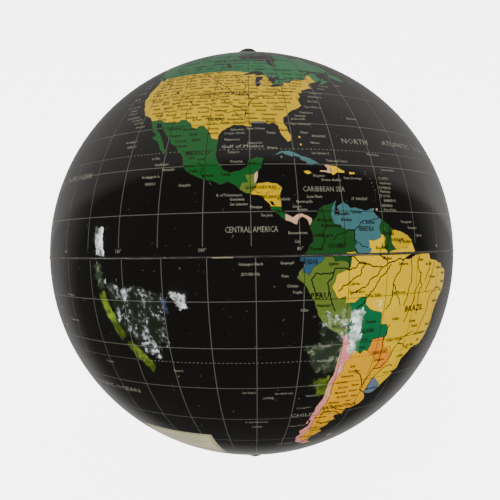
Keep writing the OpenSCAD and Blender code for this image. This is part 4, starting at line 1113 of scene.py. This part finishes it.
def grid_lines(half):
    """Meridians and parallels every ten degrees, and dashed tropics and polar circles."""
    sign = 1 if half.north else -1
    lines = []
    for lon in range(-180, 180, 10):
        low = NUMBER_BAND if half.north else 0.0
        lat = np.linspace(low, LAST_LAT if lon % 90 else LAST_LAT_OF_FOUR, 90)
        lines.append((np.stack([np.full_like(lat, lon), sign * lat], axis=1), False))
    for lat in range(10, 90, 10):
        lon = np.linspace(-180, 180, 361)
        lines.append((np.stack([lon, np.full_like(lon, sign * lat)], axis=1), False))
    for lat in (TROPIC, POLAR_CIRCLE):
        lon = np.linspace(-180, 180, 1441)
        lines.append((np.stack([lon, np.full_like(lon, sign * lat)], axis=1), True))
    return [(on_half(points, half.north), dashed) for points, dashed in lines]


def draw_grid(half):
    ribbons = Ribbons()
    for flat, dashed in grid_lines(half):
        dry = half.region(middles(flat)) >= 0
        shown = on_this_half(middles(flat))
        drawn = [ok and not (dashed and i % DASH_PERIOD >= DASH_RUNS) for i, ok in enumerate(shown)]
        wet_runs = [0 if d and not land else None for d, land in zip(drawn, dry)]
        dry_runs = [1 if d and land else None for d, land in zip(drawn, dry)]
        ribbons.strip(flat, GRID_WIDTH * (DASH_WIDER if dashed else 1), half.north, wet_runs)
        ribbons.strip(flat, LAND_GRID_WIDTH, half.north, dry_runs)
    return ribbons.build("graticule_" + side_name(half), [MATS["light_line"], MATS["dark_line"]])


def draw_rivers(half, rivers):
    ribbons = Ribbons()
    for points in rivers:
        flat = on_half(points, half.north)
        dry = (half.region(middles(flat)) >= 0) & on_this_half(middles(flat))
        width = RIVER_WIDTH * (NORTH_RIVERS if half.north else 1)
        ribbons.strip(flat, width, half.north, [0 if d else None for d in dry], LINE_LIFT * RIVER_LIFT)
    return ribbons.build("rivers_" + side_name(half), [MATS["dark_line"]])


def draw_borders(half):
    """A thin dark line where two countries meet, and along every coast."""
    ribbons = Ribbons()
    for outline in half.outlines():
        flat = np.concatenate([outline, outline[:1]])
        middle, step = middles(flat), np.diff(flat, axis=0)
        across = np.stack([-step[:, 1], step[:, 0]], axis=1)
        across *= BORDER_REACH / np.maximum(np.linalg.norm(across, axis=1), 1e-9)[:, None]
        one, other = half.region(middle + across), half.region(middle - across)
        ok = on_this_half(middle)
        coast = (one < 0) != (other < 0)
        border = (one >= 0) & (other >= 0) & (one != other)
        coast_runs = [0 if c else None for c in coast & ok]
        border_runs = [1 if b else None for b in border & ok]
        ribbons.strip(flat, COAST_WIDTH, half.north, coast_runs, COAST_LIFT)
        ribbons.strip(flat, BORDER_WIDTH, half.north, border_runs, BORDER_LIFT)
    return ribbons.build("coasts_and_borders_" + side_name(half), [MATS["coast_line"], MATS["dark_line"]])


def side_name(half):
    return "north" if half.north else "south"


# ---------------------------------------------------------------- lettering
# How much a letter's outline is thinned, in ems: below zero is bolder
BOLD_ON_LAND = -0.022
THIN_AT_SEA = 0.012
ENGRAVED = 0.004
# Heights of names in millimetres, and from what height a name at sea is thin
PLACE_HEIGHT = 1.35
INLAND_HEIGHT = 1.6
TOWN_HEIGHT = 1.5
NUMBER_HEIGHT = 1.8
LARGE_NAME = 2
# The built-in font: height of a capital in ems, and the narrowing of names that give no width
CAPITAL = 0.73
NARROW = 0.86
# Width of a letter in a crowded row, in millimetres, and the part of the row that letters may fill
TOWN_LETTER = 0.92
ROW_FILL = 0.93
# Most that a town stands off its row, in degrees
TOWN_SHIFT = 0.26
# Latitude of the degree numbers, and how near the seam a letter may come, in degrees
NUMBER_LAT = 2.6
SEAM_MARGIN = 0.3


def letter_mesh(text, thinner):
    """The text as a flat mesh in em units, from the built-in font: vertices, faces, and its box."""
    curve = bpy.data.curves.new("lettering", "FONT")
    curve.body = text
    curve.resolution_u = 1
    curve.offset = -thinner
    curve.align_x, curve.align_y = "CENTER", "CENTER"
    obj = bpy.data.objects.new("lettering", curve)
    mesh = bpy.data.meshes.new_from_object(obj)
    verts = np.array([v.co[:2] for v in mesh.vertices])
    faces = [tuple(p.vertices) for p in mesh.polygons]
    bpy.data.objects.remove(obj)
    bpy.data.curves.remove(curve)
    bpy.data.meshes.remove(mesh)
    return verts, faces


class Lettering:
    """Printed names: letters wrapped on the ball, light over water and dark over land."""

    def __init__(self, half):
        self.half = half
        self.verts, self.faces, self.tints = [], [], []

    def write(self, text, lon, lat, height, width=None):
        """height of the capitals and width in millimetres, centred on a longitude and latitude of the print.
        Names on land are bolder and lose the parts that would fall on water. Large names at sea are thin."""
        over_land = self.half.region(on_half([(lon, lat)], self.half.north))[0] >= 0
        thinner = BOLD_ON_LAND if over_land else (THIN_AT_SEA if height > LARGE_NAME else 0.0)
        verts, faces = letter_mesh(text, thinner)
        size = verts.max(axis=0) - verts.min(axis=0)
        verts = verts - (verts.max(axis=0) + verts.min(axis=0)) / 2
        up = height / CAPITAL
        along = width / size[0] if width else up * NARROW
        east = lon + verts[:, 0] * along / (DEGREE_MM * math.cos(math.radians(lat)))
        north = lat + verts[:, 1] * up / DEGREE_MM
        flat = on_half(np.stack([east, north], axis=1), self.half.north)
        if not on_this_half(flat, SEAM_MARGIN).all():
            return
        dry = self.half.region(np.array([flat[list(f)].mean(axis=0) for f in faces])) >= 0
        start = len(self.verts)
        self.verts += [*to_ball(flat, self.half.north, PRINT_R + LABEL_LIFT)]
        turn = 1 if faces_outward(flat, faces[0], self.half.north) else -1
        for face, land in zip(faces, dry):
            if over_land and not land:
                continue
            self.faces.append(tuple(v + start for v in face[::turn]))
            self.tints.append(1 if land else 0)

    def build(self):
        name = "place_names_" + side_name(self.half)
        mats = [MATS["light_letter"], MATS["dark_letter"]]
        return make_object(name, self.verts, self.faces, mats, self.tints)


def faces_outward(flat, face, north):
    a, b, c = to_ball(flat[list(face[:3])], north, 1.0)
    return np.dot(np.cross(b - a, c - a), a - np.array(CENTRE)) > 0


def entries(text, numbers, separator):
    """Each entry as a list: so many numbers, then the name."""
    out = []
    for entry in text.strip().split(separator):
        *values, name = entry.split(None, numbers)
        out.append([*(float(v) for v in values), name.strip()])
    return out


def town_row(names, first, last, lat, rng):
    """Names side by side along a parallel, as longitude and latitude for each. The longest are left out
    until the rest fit, the gaps differ, and each name sits a little above or below the row."""
    letter = TOWN_LETTER / (DEGREE_MM * math.cos(math.radians(lat)))
    room = (last - first) * ROW_FILL
    while len(names) > 1 and sum(len(n) for n in names) * letter > room:
        names.remove(max(names, key=len))
    if len(names) == 1:
        return [(names[0], first, lat)]
    gaps = [rng.uniform(0.3, 1.7) for _ in names]
    spare = (last - first - sum(len(n) for n in names) * letter) / sum(gaps)
    out, place = [], first
    for name, gap in zip(names, gaps):
        place += len(name) * letter / 2
        out.append((name, place, lat + rng.uniform(-TOWN_SHIFT, TOWN_SHIFT)))
        place += len(name) * letter / 2 + gap * spare
    return out


def draw_lettering(half):
    words = Lettering(half)
    rng = random.Random(11)

    def write(name, lon, lat, height, width=None):
        if (lat > 0) == half.north:
            words.write(name, lon, lat, height, width)

    for height, width, lon, lat, name in entries(TITLES, 4, "\n"):
        write(name, lon, lat, height, width)
    for text, height in ((PLACES, PLACE_HEIGHT), (INLAND, INLAND_HEIGHT)):
        for lon, lat, name in entries(text, 2, ","):
            write(name, lon, lat, height)
    for row in rows(TOWN_ROWS):
        lat, first, last, names = row.split(None, 3)
        names = [name.strip() for name in names.split(",")]
        for name, lon, place in town_row(names, float(first), float(last), float(lat), rng):
            write(name, lon, place, TOWN_HEIGHT)
    for lon in range(-180, 180, 20):
        write(str(abs(lon)) + "°", lon, NUMBER_LAT, NUMBER_HEIGHT)
    return words.build()


# ---------------------------------------------------------------- the label panel in the South Pacific
PANEL_WEST, PANEL_EAST = -139.0, -106.5
PANEL_TOP, PANEL_FOOT = -47.6, -63.0
PAPER_ROWS, PAPER_COLUMNS = 12, 24
INK_LIFT = LABEL_LIFT + 0.012 * MM
LINE_POINTS = 40
# Frame lines as (inset in degrees of latitude, width); degrees of longitude are this much shorter there
FRAME_LINES = ((0.5, 0.45 * MM), (1.1, 0.18 * MM))
LON_PER_LAT = 1.6
# Rules as (latitude, inset in degrees of longitude)
RULES = ((-50, 3), (-51.2, 6), (-52.4, 4), (-53.6, 8))
RULE_WIDTH = 0.3 * MM
# The scale bar: its first longitude, latitude, and the number, length and widths of its parts
BAR_WEST, BAR_LAT = -133.5, -58.6
BAR_PARTS, BAR_STEP = 6, 3.6
BAR_WIDTHS = (0.25 * MM, 0.7 * MM)


def draw_panel(half):
    """A pale label panel on the southern half: a double frame, plain rules and a scale bar, with no words."""
    ribbons = Ribbons()

    def line(lon0, lat0, lon1, lat1, width):
        lon, lat = np.linspace(lon0, lon1, LINE_POINTS), np.linspace(lat0, lat1, LINE_POINTS)
        flat = on_half(np.stack([lon, lat], axis=1), half.north)
        ribbons.strip(flat, width, half.north, [1] * (LINE_POINTS - 1), INK_LIFT)

    def across(row):
        lon = np.linspace(PANEL_WEST, PANEL_EAST, PAPER_COLUMNS + 1)
        lat = np.full_like(lon, PANEL_TOP + (PANEL_FOOT - PANEL_TOP) * row / PAPER_ROWS)
        return to_ball(on_half(np.stack([lon, lat], axis=1), half.north), half.north, PRINT_R + LABEL_LIFT)

    for i in range(PAPER_ROWS):
        upper, lower = across(i), across(i + 1)
        for j in range(PAPER_COLUMNS):
            ribbons.quad([lower[j], lower[j + 1], upper[j + 1], upper[j]], 0)
    for inset, width in FRAME_LINES:
        west, east = PANEL_WEST + inset * LON_PER_LAT, PANEL_EAST - inset * LON_PER_LAT
        top, foot = PANEL_TOP - inset, PANEL_FOOT + inset
        line(west, top, east, top, width)
        line(west, foot, east, foot, width)
        line(west, top, west, foot, width)
        line(east, top, east, foot, width)
    for lat, inset in RULES:
        line(PANEL_WEST + inset, lat, PANEL_EAST - inset, lat, RULE_WIDTH)
    for i in range(BAR_PARTS):
        start = BAR_WEST + i * BAR_STEP
        line(start, BAR_LAT, start + BAR_STEP, BAR_LAT, BAR_WIDTHS[i % 2])
    return ribbons.build("label_panel", [MATS["label_paper"], MATS["dark_letter"]])


# ---------------------------------------------------------------- the glued seam
# The ridge's section, as millimetres along the axis and above the ball
SEAM_PROFILE = ((-0.75, -0.20), (-0.42, -0.02), (-0.13, 0.12), (0.13, 0.14), (0.42, -0.02), (0.75, -0.20))
SEAM_FOOT = -0.75
SEAM_STEPS = 1080
# How far the ridge's top swells at random, and where some of its upper side also takes the crest's lighter
# colour, a painted highlight of light from above
SEAM_SWELL = 0.18
HIGHLIGHT_ABOVE = 0.9
# The run of dried glue: its longitude, half its length in degrees, its height, and half its bare length
GLUE_LON = -96.0
GLUE_REACH = 2.4
GLUE_HEIGHT = 0.22
GLUE_BARE = 2.1


def seam_longitude(degrees):
    """The print longitude at so many degrees round the seam."""
    return (degrees + FRONT_LON + 180) % 360 - 180


def build_seam():
    """The varnished ridge along the equator: uneven, with its crest painted lighter as a highlight of light
    from above, dark flanks that are partly painted shade along the seam, and some dried glue.
    """
    rng = random.Random(3)
    wobble = [rng.uniform(0, 1) for _ in range(SEAM_STEPS)]
    centre, verts, faces, tints = np.array(CENTRE), [], [], []
    for i in range(SEAM_STEPS):
        turn = i * math.tau / SEAM_STEPS
        lon = seam_longitude(math.degrees(turn))
        level = (wobble[i] + wobble[(i + 1) % SEAM_STEPS] + wobble[i - 1]) / 3
        glue = max(0.0, 1 - abs(lon - GLUE_LON) / GLUE_REACH) ** 0.5
        outward = np.array([math.cos(turn), math.sin(turn), 0.0])
        section = []
        for along, height in SEAM_PROFILE:
            lump = SEAM_SWELL * level * (height > -0.1) + glue * GLUE_HEIGHT * (-0.5 < along < 0.3)
            section.append((along, height + lump))
        for along, _ in (SEAM_PROFILE[-1], SEAM_PROFILE[0]):
            section.append((along * 0.5, SEAM_FOOT))
        for along, height in section:
            radius = BALL_R + height * MM
            verts.append(centre + (outward * radius + np.array([0, 0, along * MM])) @ BALL_FRAME)
    ring = len(section)
    for i in range(SEAM_STEPS):
        after = (i + 1) % SEAM_STEPS
        lon = seam_longitude(i * 360 / SEAM_STEPS)
        for j in range(ring):
            k = (j + 1) % ring
            faces.append((i * ring + j, after * ring + j, after * ring + k, i * ring + k))
            # Painted highlight: the crest, and in places the upper side, take a lighter colour where light
            # from above catches the ridge
            crest = j == 2 or (j == 3 and wobble[i] > HIGHLIGHT_ABOVE)
            bare_glue = abs(lon - GLUE_LON) < GLUE_BARE and j in (1, 2)
            tints.append(2 if bare_glue else (1 if crest else 0))
    mats = [MATS["seam_varnish"], MATS["seam_crest"], MATS["glue"]]
    return make_object("seam_ridge", verts, faces, mats, tints)


# ---------------------------------------------------------------- the latitude scale on the arm
ARM_OUTER = 132.4 * MM
ARM_HALF_WIDTH = 7 * MM
SCALE_LIFT = 0.02 * MM
# Distance of the ticks from the arm's edge, and the length and half width in degrees of each kind of tick
TICK_INSET = 0.8 * MM
TICK_ENDS = (10, 170)
TEN_TICK, FIVE_TICK, ONE_TICK = 2.6 * MM, 1.9 * MM, 1.2 * MM
FINE_TICK, BOLD_TICK = 0.045, 0.065
# Degrees that the heads of the arm screws take up
SCREW_DEGREES = (66, 67)
NUMBER_ENDS = (20, 160)
NUMBER_EM = 3.2 * MM


def arm_point(across, angle):
    """A place on the arm's outer face: metres across it, and degrees from the north pole round the back."""
    angle = math.radians(angle)
    way = AXIS * math.cos(angle) - FRONT * math.sin(angle)
    return CENTRE + way * (ARM_OUTER + SCALE_LIFT) + RIGHT * across


def build_scale():
    """Degree ticks along both edges of the arm, with numbers every ten degrees, as engraved and blackened."""
    verts, faces = [], []
    first, last = TICK_ENDS
    for side in (-1, 1):
        edge = side * (ARM_HALF_WIDTH - TICK_INSET)
        for degree in range(first, last + 1):
            if degree in SCREW_DEGREES:
                continue
            length = TEN_TICK if degree % 10 == 0 else (FIVE_TICK if degree % 5 == 0 else ONE_TICK)
            half = FINE_TICK if degree % 5 else BOLD_TICK
            low, high = sorted((edge, edge - side * length))
            start = len(verts)
            for across, turn in ((low, -half), (low, half), (high, half), (high, -half)):
                verts.append(arm_point(across, degree + turn))
            faces.append((start, start + 1, start + 2, start + 3))
    first, last = NUMBER_ENDS
    for degree in range(first, last + 1, 10):
        shape, letters = letter_mesh(str(abs(90 - degree)), ENGRAVED)
        start = len(verts)
        for x, y in shape - (shape.max(axis=0) + shape.min(axis=0)) / 2:
            verts.append(arm_point(-x * NUMBER_EM, degree - math.degrees(y * NUMBER_EM / ARM_OUTER)))
        faces.extend(tuple(v + start for v in f) for f in letters)
    return make_object("arm_latitude_scale", verts, faces, [MATS["scale_ink"]])


# ---------------------------------------------------------------- build the pieces
MATS = {ink: print_material(ink) for ink in INKS}
MATS["board"] = plain_material("pressed_board", srgb(176, 152, 118), roughness=0.8, grain_scale=700)
MATS["glue"] = plain_material("hard_glue", srgb(150, 140, 108), roughness=0.35, grain_scale=500,
                              depth=0.4 * MM)
MATS["nylon"] = plain_material("moulded_nylon", srgb(216, 212, 196), roughness=0.42, grain_scale=900)
MATS["felt"] = plain_material("pressed_felt", srgb(24, 60, 36), roughness=0.95, grain_scale=1400,
                              depth=0.5 * MM, spread=0.25)
MATS["arm"] = metal_material("satin_nickel", srgb(184, 178, 166), roughness=0.3, grain_scale=900,
                             stretch=(1, 0.12, 0.12))
MATS["cap"] = metal_material("polished_nickel", srgb(186, 178, 164), roughness=0.22, grain_scale=1200)
MATS["steel"] = metal_material("zinc_steel", srgb(176, 176, 174), roughness=0.3, grain_scale=1000)
MATS["ballast"] = metal_material("raw_steel_plate", srgb(92, 90, 88), roughness=0.5, grain_scale=500)
MATS["walnut"] = wood_material()
# The seam's flanks: dark varnish that also stands in for painted shade along the seam
MATS["seam_varnish"] = plain_material("varnished_seam_and_painted_shade", srgb(34, 31, 28), roughness=0.2, grain_scale=900,
                                      depth=0.3 * MM, spread=0.4)
# The seam's crest colour is a painted highlight, lighter than the varnish
MATS["seam_crest"] = plain_material("bare_seam_crest", srgb(78, 75, 67), roughness=0.22, grain_scale=1100,
                                    depth=0.3 * MM, spread=0.8)
MATS["scale_ink"] = plain_material("blackened_engraving", srgb(22, 21, 20), roughness=0.6, grain_scale=1500)

lands, countries, lakes, rivers = read_outlines()
HALVES = [Half(north, lands, countries, lakes) for north in (True, False)]
NOT_ON_MAP = ("line", "letter", "label")
MAP_INKS = [ink for ink in INKS if not any(word in ink for word in NOT_ON_MAP)]

for half in HALVES:
    side = side_name(half)
    shell = build_half_shell(half, MAP_INKS)
    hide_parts(side + "_shell")
    printed = [shell, draw_grid(half), draw_rivers(half, rivers), draw_borders(half), draw_lettering(half)]
    for piece in printed:
        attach(piece, "ball")

seam = build_seam()
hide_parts("seam_bead")
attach(seam, "ball")
panel = draw_panel(HALVES[1])
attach(panel, "ball")
scale = build_scale()
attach(scale, "stand")


# ---------------------------------------------------------------- CAD pieces that keep their shape
def give(material, *nodes):
    for name in nodes:
        obj = frame["nodes"][name]
        obj.data.materials.clear()
        obj.data.materials.append(MATS[material])


give("arm", "meridian_arm", "arm_saddle")
give("cap", "north_axle_cap", "south_axle_cap", "saddle_collar", "base_trim_ring")
give("steel", "axle_rod", "arm_screws", "saddle_bolt", "bolt_washer", "ballast_screws",
     "north_retaining_ring", "south_retaining_ring")
give("nylon", "north_bushing", "south_bushing", "north_thrust_washer", "south_thrust_washer")
give("board", "joint_band", "north_pole_plate", "south_pole_plate")
give("ballast", "ballast_plate")
give("walnut", "base_disc")
give("felt", "felt_pad")


# ---------------------------------------------------------------- camera, floor and light
CAMERA_DISTANCE = 3.05 * BALL_R
CAMERA_ELEVATION = math.radians(24.3)
CAMERA_ROLL = math.radians(-1.0)
LENS_MM = 41.92
SENSOR_MM = 36
# The ball's centre against the middle of the picture, right and up, as parts of the picture's width
BALL_FROM_MIDDLE = (0.00280, -0.00580)


def add_camera():
    data = bpy.data.cameras.new("camera")
    data.lens = LENS_MM
    data.sensor_width = SENSOR_MM
    data.clip_start = 0.01
    obj = bpy.data.objects.new("camera", data)
    back = Vector((0, -math.cos(CAMERA_ELEVATION), math.sin(CAMERA_ELEVATION)))
    up = Vector((0, math.sin(CAMERA_ELEVATION), math.cos(CAMERA_ELEVATION)))
    place = CENTRE + back * CAMERA_DISTANCE
    off = RIGHT * BALL_FROM_MIDDLE[0] + up * BALL_FROM_MIDDLE[1]
    aim = CENTRE - off * CAMERA_DISTANCE * SENSOR_MM / LENS_MM
    look = (place - aim).normalized()
    side = up.cross(look).normalized()
    turn = Matrix((side, look.cross(side), look)).transposed().to_4x4()
    obj.matrix_world = Matrix.Translation(place) @ turn @ Matrix.Rotation(CAMERA_ROLL, 4, "Z")
    bpy.context.scene.collection.objects.link(obj)
    bpy.context.scene.camera = obj


FLOOR_HALF = 40.0
# How bright floor and background look to the camera, as emission strengths
FLOOR_GLOW = 5.0
BACKGROUND_GLOW = 5.9


def add_floor():
    """A pale floor. The gloss does not mirror it, so the ball mirrors only the room set up below."""
    verts = [(x * FLOOR_HALF, y * FLOOR_HALF, 0) for x, y in ((-1, -1), (1, -1), (1, 1), (-1, 1))]
    mat, tree, shader = new_material("floor_paper")
    shader.inputs["Base Color"].default_value = srgb(252, 252, 252)
    shader.inputs["Roughness"].default_value = 0.9
    path = add(tree, "ShaderNodeLightPath")
    shader.inputs["Emission Color"].default_value = (1, 1, 1, 1)
    glow = ramp(tree, path.outputs["Is Camera Ray"], 0, 1, 0, FLOOR_GLOW)
    tree.links.new(glow, shader.inputs["Emission Strength"])
    floor = make_object("floor", verts, [(0, 1, 2, 3)], [mat])
    floor.visible_glossy = False


def foliage_material(name, bright, leaf, gaps, scale):
    """What is seen through a window: light between leaves."""
    mat, tree, shader = new_material(name)
    tree.nodes.remove(shader)
    spots = ramp(tree, object_noise(tree, scale, detail=6, rough=0.75), gaps, gaps + 0.1, 0, 1)
    patches = ramp(tree, object_noise(tree, scale / 3, detail=3), 0.42, 0.6, 0, 1)
    amount = add(tree, "ShaderNodeMath", {0: spots, 1: patches}, operation="MULTIPLY").outputs[0]
    glow = add(tree, "ShaderNodeEmission", {"Strength": 1.0})
    tree.links.new(mix_colour(tree, amount, leaf, bright), glow.inputs["Color"])
    tree.links.new(glow.outputs[0], tree.nodes["Material Output"].inputs["Surface"])
    return mat


ROOM_RADIUS = 6.0
PANE_CELLS = 14


def room_point(east, up):
    """A place in the room, by its bearing east of the front and its height angle, in degrees."""
    east, up = math.radians(east), math.radians(up)
    way = Vector((math.sin(east) * math.cos(up), -math.cos(east) * math.cos(up), math.sin(up)))
    return CENTRE + way * ROOM_RADIUS


def add_window(name, corners, material, ragged=1.6):
    """What a window shows, bent round the room between four corners: upper left, upper right, lower right,
    lower left. Its edge is ragged by so many degrees, as leaves make it. Only gloss sees it."""
    rng = random.Random(name)
    verts, faces = [], []
    ul, ur, lr, ll = [Vector(c) for c in corners]
    width = PANE_CELLS + 1
    for j in range(width):
        for i in range(width):
            u, v = i / PANE_CELLS, j / PANE_CELLS
            east, up = (ul * (1 - u) + ur * u) * (1 - v) + (ll * (1 - u) + lr * u) * v
            if {i, j} & {0, PANE_CELLS}:
                east += rng.uniform(-ragged, ragged)
                up += rng.uniform(-ragged, ragged)
            verts.append(room_point(east, up))
            if i and j:
                k = (j - 1) * width + i - 1
                faces.append((k, k + 1, k + width + 1, k + width))
    pane = make_object(name, verts, faces, [material])
    pane.visible_camera = False
    pane.visible_diffuse = False
    pane.visible_shadow = False


def add_light(name, place, size, power):
    """A soft area light that the gloss does not mirror."""
    data = bpy.data.lights.new(name, "AREA")
    data.shape = "RECTANGLE"
    data.size, data.size_y = size
    data.energy = power
    obj = bpy.data.objects.new(name, data)
    obj.location = place
    obj.rotation_euler = (CENTRE - Vector(place)).to_track_quat("-Z", "Y").to_euler()
    obj.visible_glossy = False
    bpy.context.scene.collection.objects.link(obj)


SOFT_LIGHT = 0.75
# What gloss sees: brightness of the dark room, the back wall, and the ceiling at its left and right ends
DARK_ROOM = 0.10
BACK_WALL = 0.39
CEILING_LEFT, CEILING_RIGHT = 0.46, 0.64
# How much the ceiling's near edge depends on height, and how dim everything is far behind the ball
CEILING_SLANT = 0.8
FAR_BEHIND = 0.42


def add_world():
    """Near white for the camera, soft white for diffuse light. Gloss sees a dark room in front, a pale wall
    behind, and a pale ceiling whose near edge slants."""
    world = bpy.data.worlds.new("surround")
    bpy.context.scene.world = world
    world.use_nodes = True
    tree = world.node_tree
    soft = tree.nodes["Background"]
    soft.inputs["Color"].default_value = (1, 1, 1, 1)
    soft.inputs["Strength"].default_value = SOFT_LIGHT
    coord = add(tree, "ShaderNodeTexCoord")
    split = add(tree, "ShaderNodeSeparateXYZ", {0: coord.outputs["Generated"]})
    raised = add(tree, "ShaderNodeMath", {0: split.outputs["Z"], 1: CEILING_SLANT, 2: split.outputs["Y"]},
                 operation="MULTIPLY_ADD").outputs[0]
    side = ramp(tree, split.outputs["X"], -0.9, 0.2, CEILING_LEFT, CEILING_RIGHT)
    ceiling = ramp(tree, raised, 0.42, 0.54, DARK_ROOM, side)
    back = ramp(tree, split.outputs["Y"], 0.20, 0.50, DARK_ROOM, BACK_WALL)
    bright = add(tree, "ShaderNodeMath", {0: ceiling, 1: back}, operation="MAXIMUM").outputs[0]
    fading = ramp(tree, split.outputs["Y"], 0.60, 0.95, 1.0, FAR_BEHIND)
    wall = add(tree, "ShaderNodeMath", {0: bright, 1: fading}, operation="MULTIPLY").outputs[0]
    room = add(tree, "ShaderNodeBackground", {"Color": (1.0, 0.98, 0.95, 1), "Strength": wall})
    pale = add(tree, "ShaderNodeBackground", {"Color": (1, 1, 1, 1), "Strength": BACKGROUND_GLOW})
    path = add(tree, "ShaderNodeLightPath")
    lit = add(tree, "ShaderNodeMixShader", {0: path.outputs["Is Glossy Ray"]})
    tree.links.new(soft.outputs[0], lit.inputs[1])
    tree.links.new(room.outputs[0], lit.inputs[2])
    seen = add(tree, "ShaderNodeMixShader", {0: path.outputs["Is Camera Ray"]})
    tree.links.new(lit.outputs[0], seen.inputs[1])
    tree.links.new(pale.outputs[0], seen.inputs[2])
    tree.links.new(seen.outputs[0], tree.nodes["World Output"].inputs["Surface"])


# Brightness of the gaps, then of the leaves
LEAVES = foliage_material("daylight_through_leaves", (34, 36, 37, 1), (0.3, 0.42, 0.22, 1),
                          gaps=0.52, scale=4.5)
GRASS = foliage_material("sunlit_grass", (5.5, 8.0, 0.8, 1), (0.9, 1.5, 0.15, 1), gaps=0.42, scale=3.0)
SKY = foliage_material("bright_gap", (34, 35, 36, 1), (1.2, 2.0, 1.2, 1), gaps=0.40, scale=3.0)
BLUE = foliage_material("blue_gap", (5, 8, 16, 1), (0.5, 0.8, 1.4, 1), gaps=0.45, scale=3.0)
WOODS = foliage_material("dim_woods", (7, 8, 5, 1), (0.6, 0.9, 0.5, 1), gaps=0.5, scale=3.5)

add_camera()
add_floor()
add_world()
add_light("key", place=(-0.9, -1.3, 1.5), size=(1.2, 1.2), power=18)
add_light("fill", place=(1.4, -0.6, 1.0), size=(1.2, 1.2), power=8)
# Corners are (bearing, height angle): upper left, upper right, lower right, lower left
add_window("window_left_pane", [(-80, -6), (-46, -1), (-44, -27), (-67, -26)], LEAVES)
add_window("window_left_foot", [(-63, -27), (-48, -27), (-51, -34), (-58, -32)], LEAVES)
add_window("window_left_gap", [(-42, 0), (-34, 1), (-32, -6), (-36, -7)], SKY, 0.8)
add_window("window_left_blue", [(-49, -5), (-43, -3), (-42, -10), (-46, -10)], BLUE, 0.8)
add_window("window_left_grass", [(-84, -13), (-80, -10), (-69, -26), (-73, -29)], GRASS, 0.6)
add_window("window_left_lawn", [(-71, -30), (-66, -28), (-56, -38), (-60, -42)], GRASS, 0.6)
add_window("window_left_strip", [(-94, 9), (-89, 12), (-83, 3), (-88, 1)], SKY, 0.5)
add_window("window_left_edge", [(-88, -3), (-84, -1), (-81, -9), (-84, -10)], WOODS)
add_window("window_right_upper", [(34, -10), (49, -11), (50, -25), (35, -27)], LEAVES)
add_window("window_right_middle", [(49, -11), (57, -14), (57, -34), (52, -32)], SKY)
add_window("window_right_lower", [(27, -26), (47, -26), (52, -43), (35, -41)], WOODS)
add_window("window_right_grass", [(37, -46), (46, -45), (56, -56), (45, -56)], GRASS)
add_window("window_right_glint", [(59, -10), (69, -12), (68, -16), (62, -15)], LEAVES)
add_window("window_right_spark", [(77, -13), (84, -14), (81, -18), (75, -17)], GRASS)
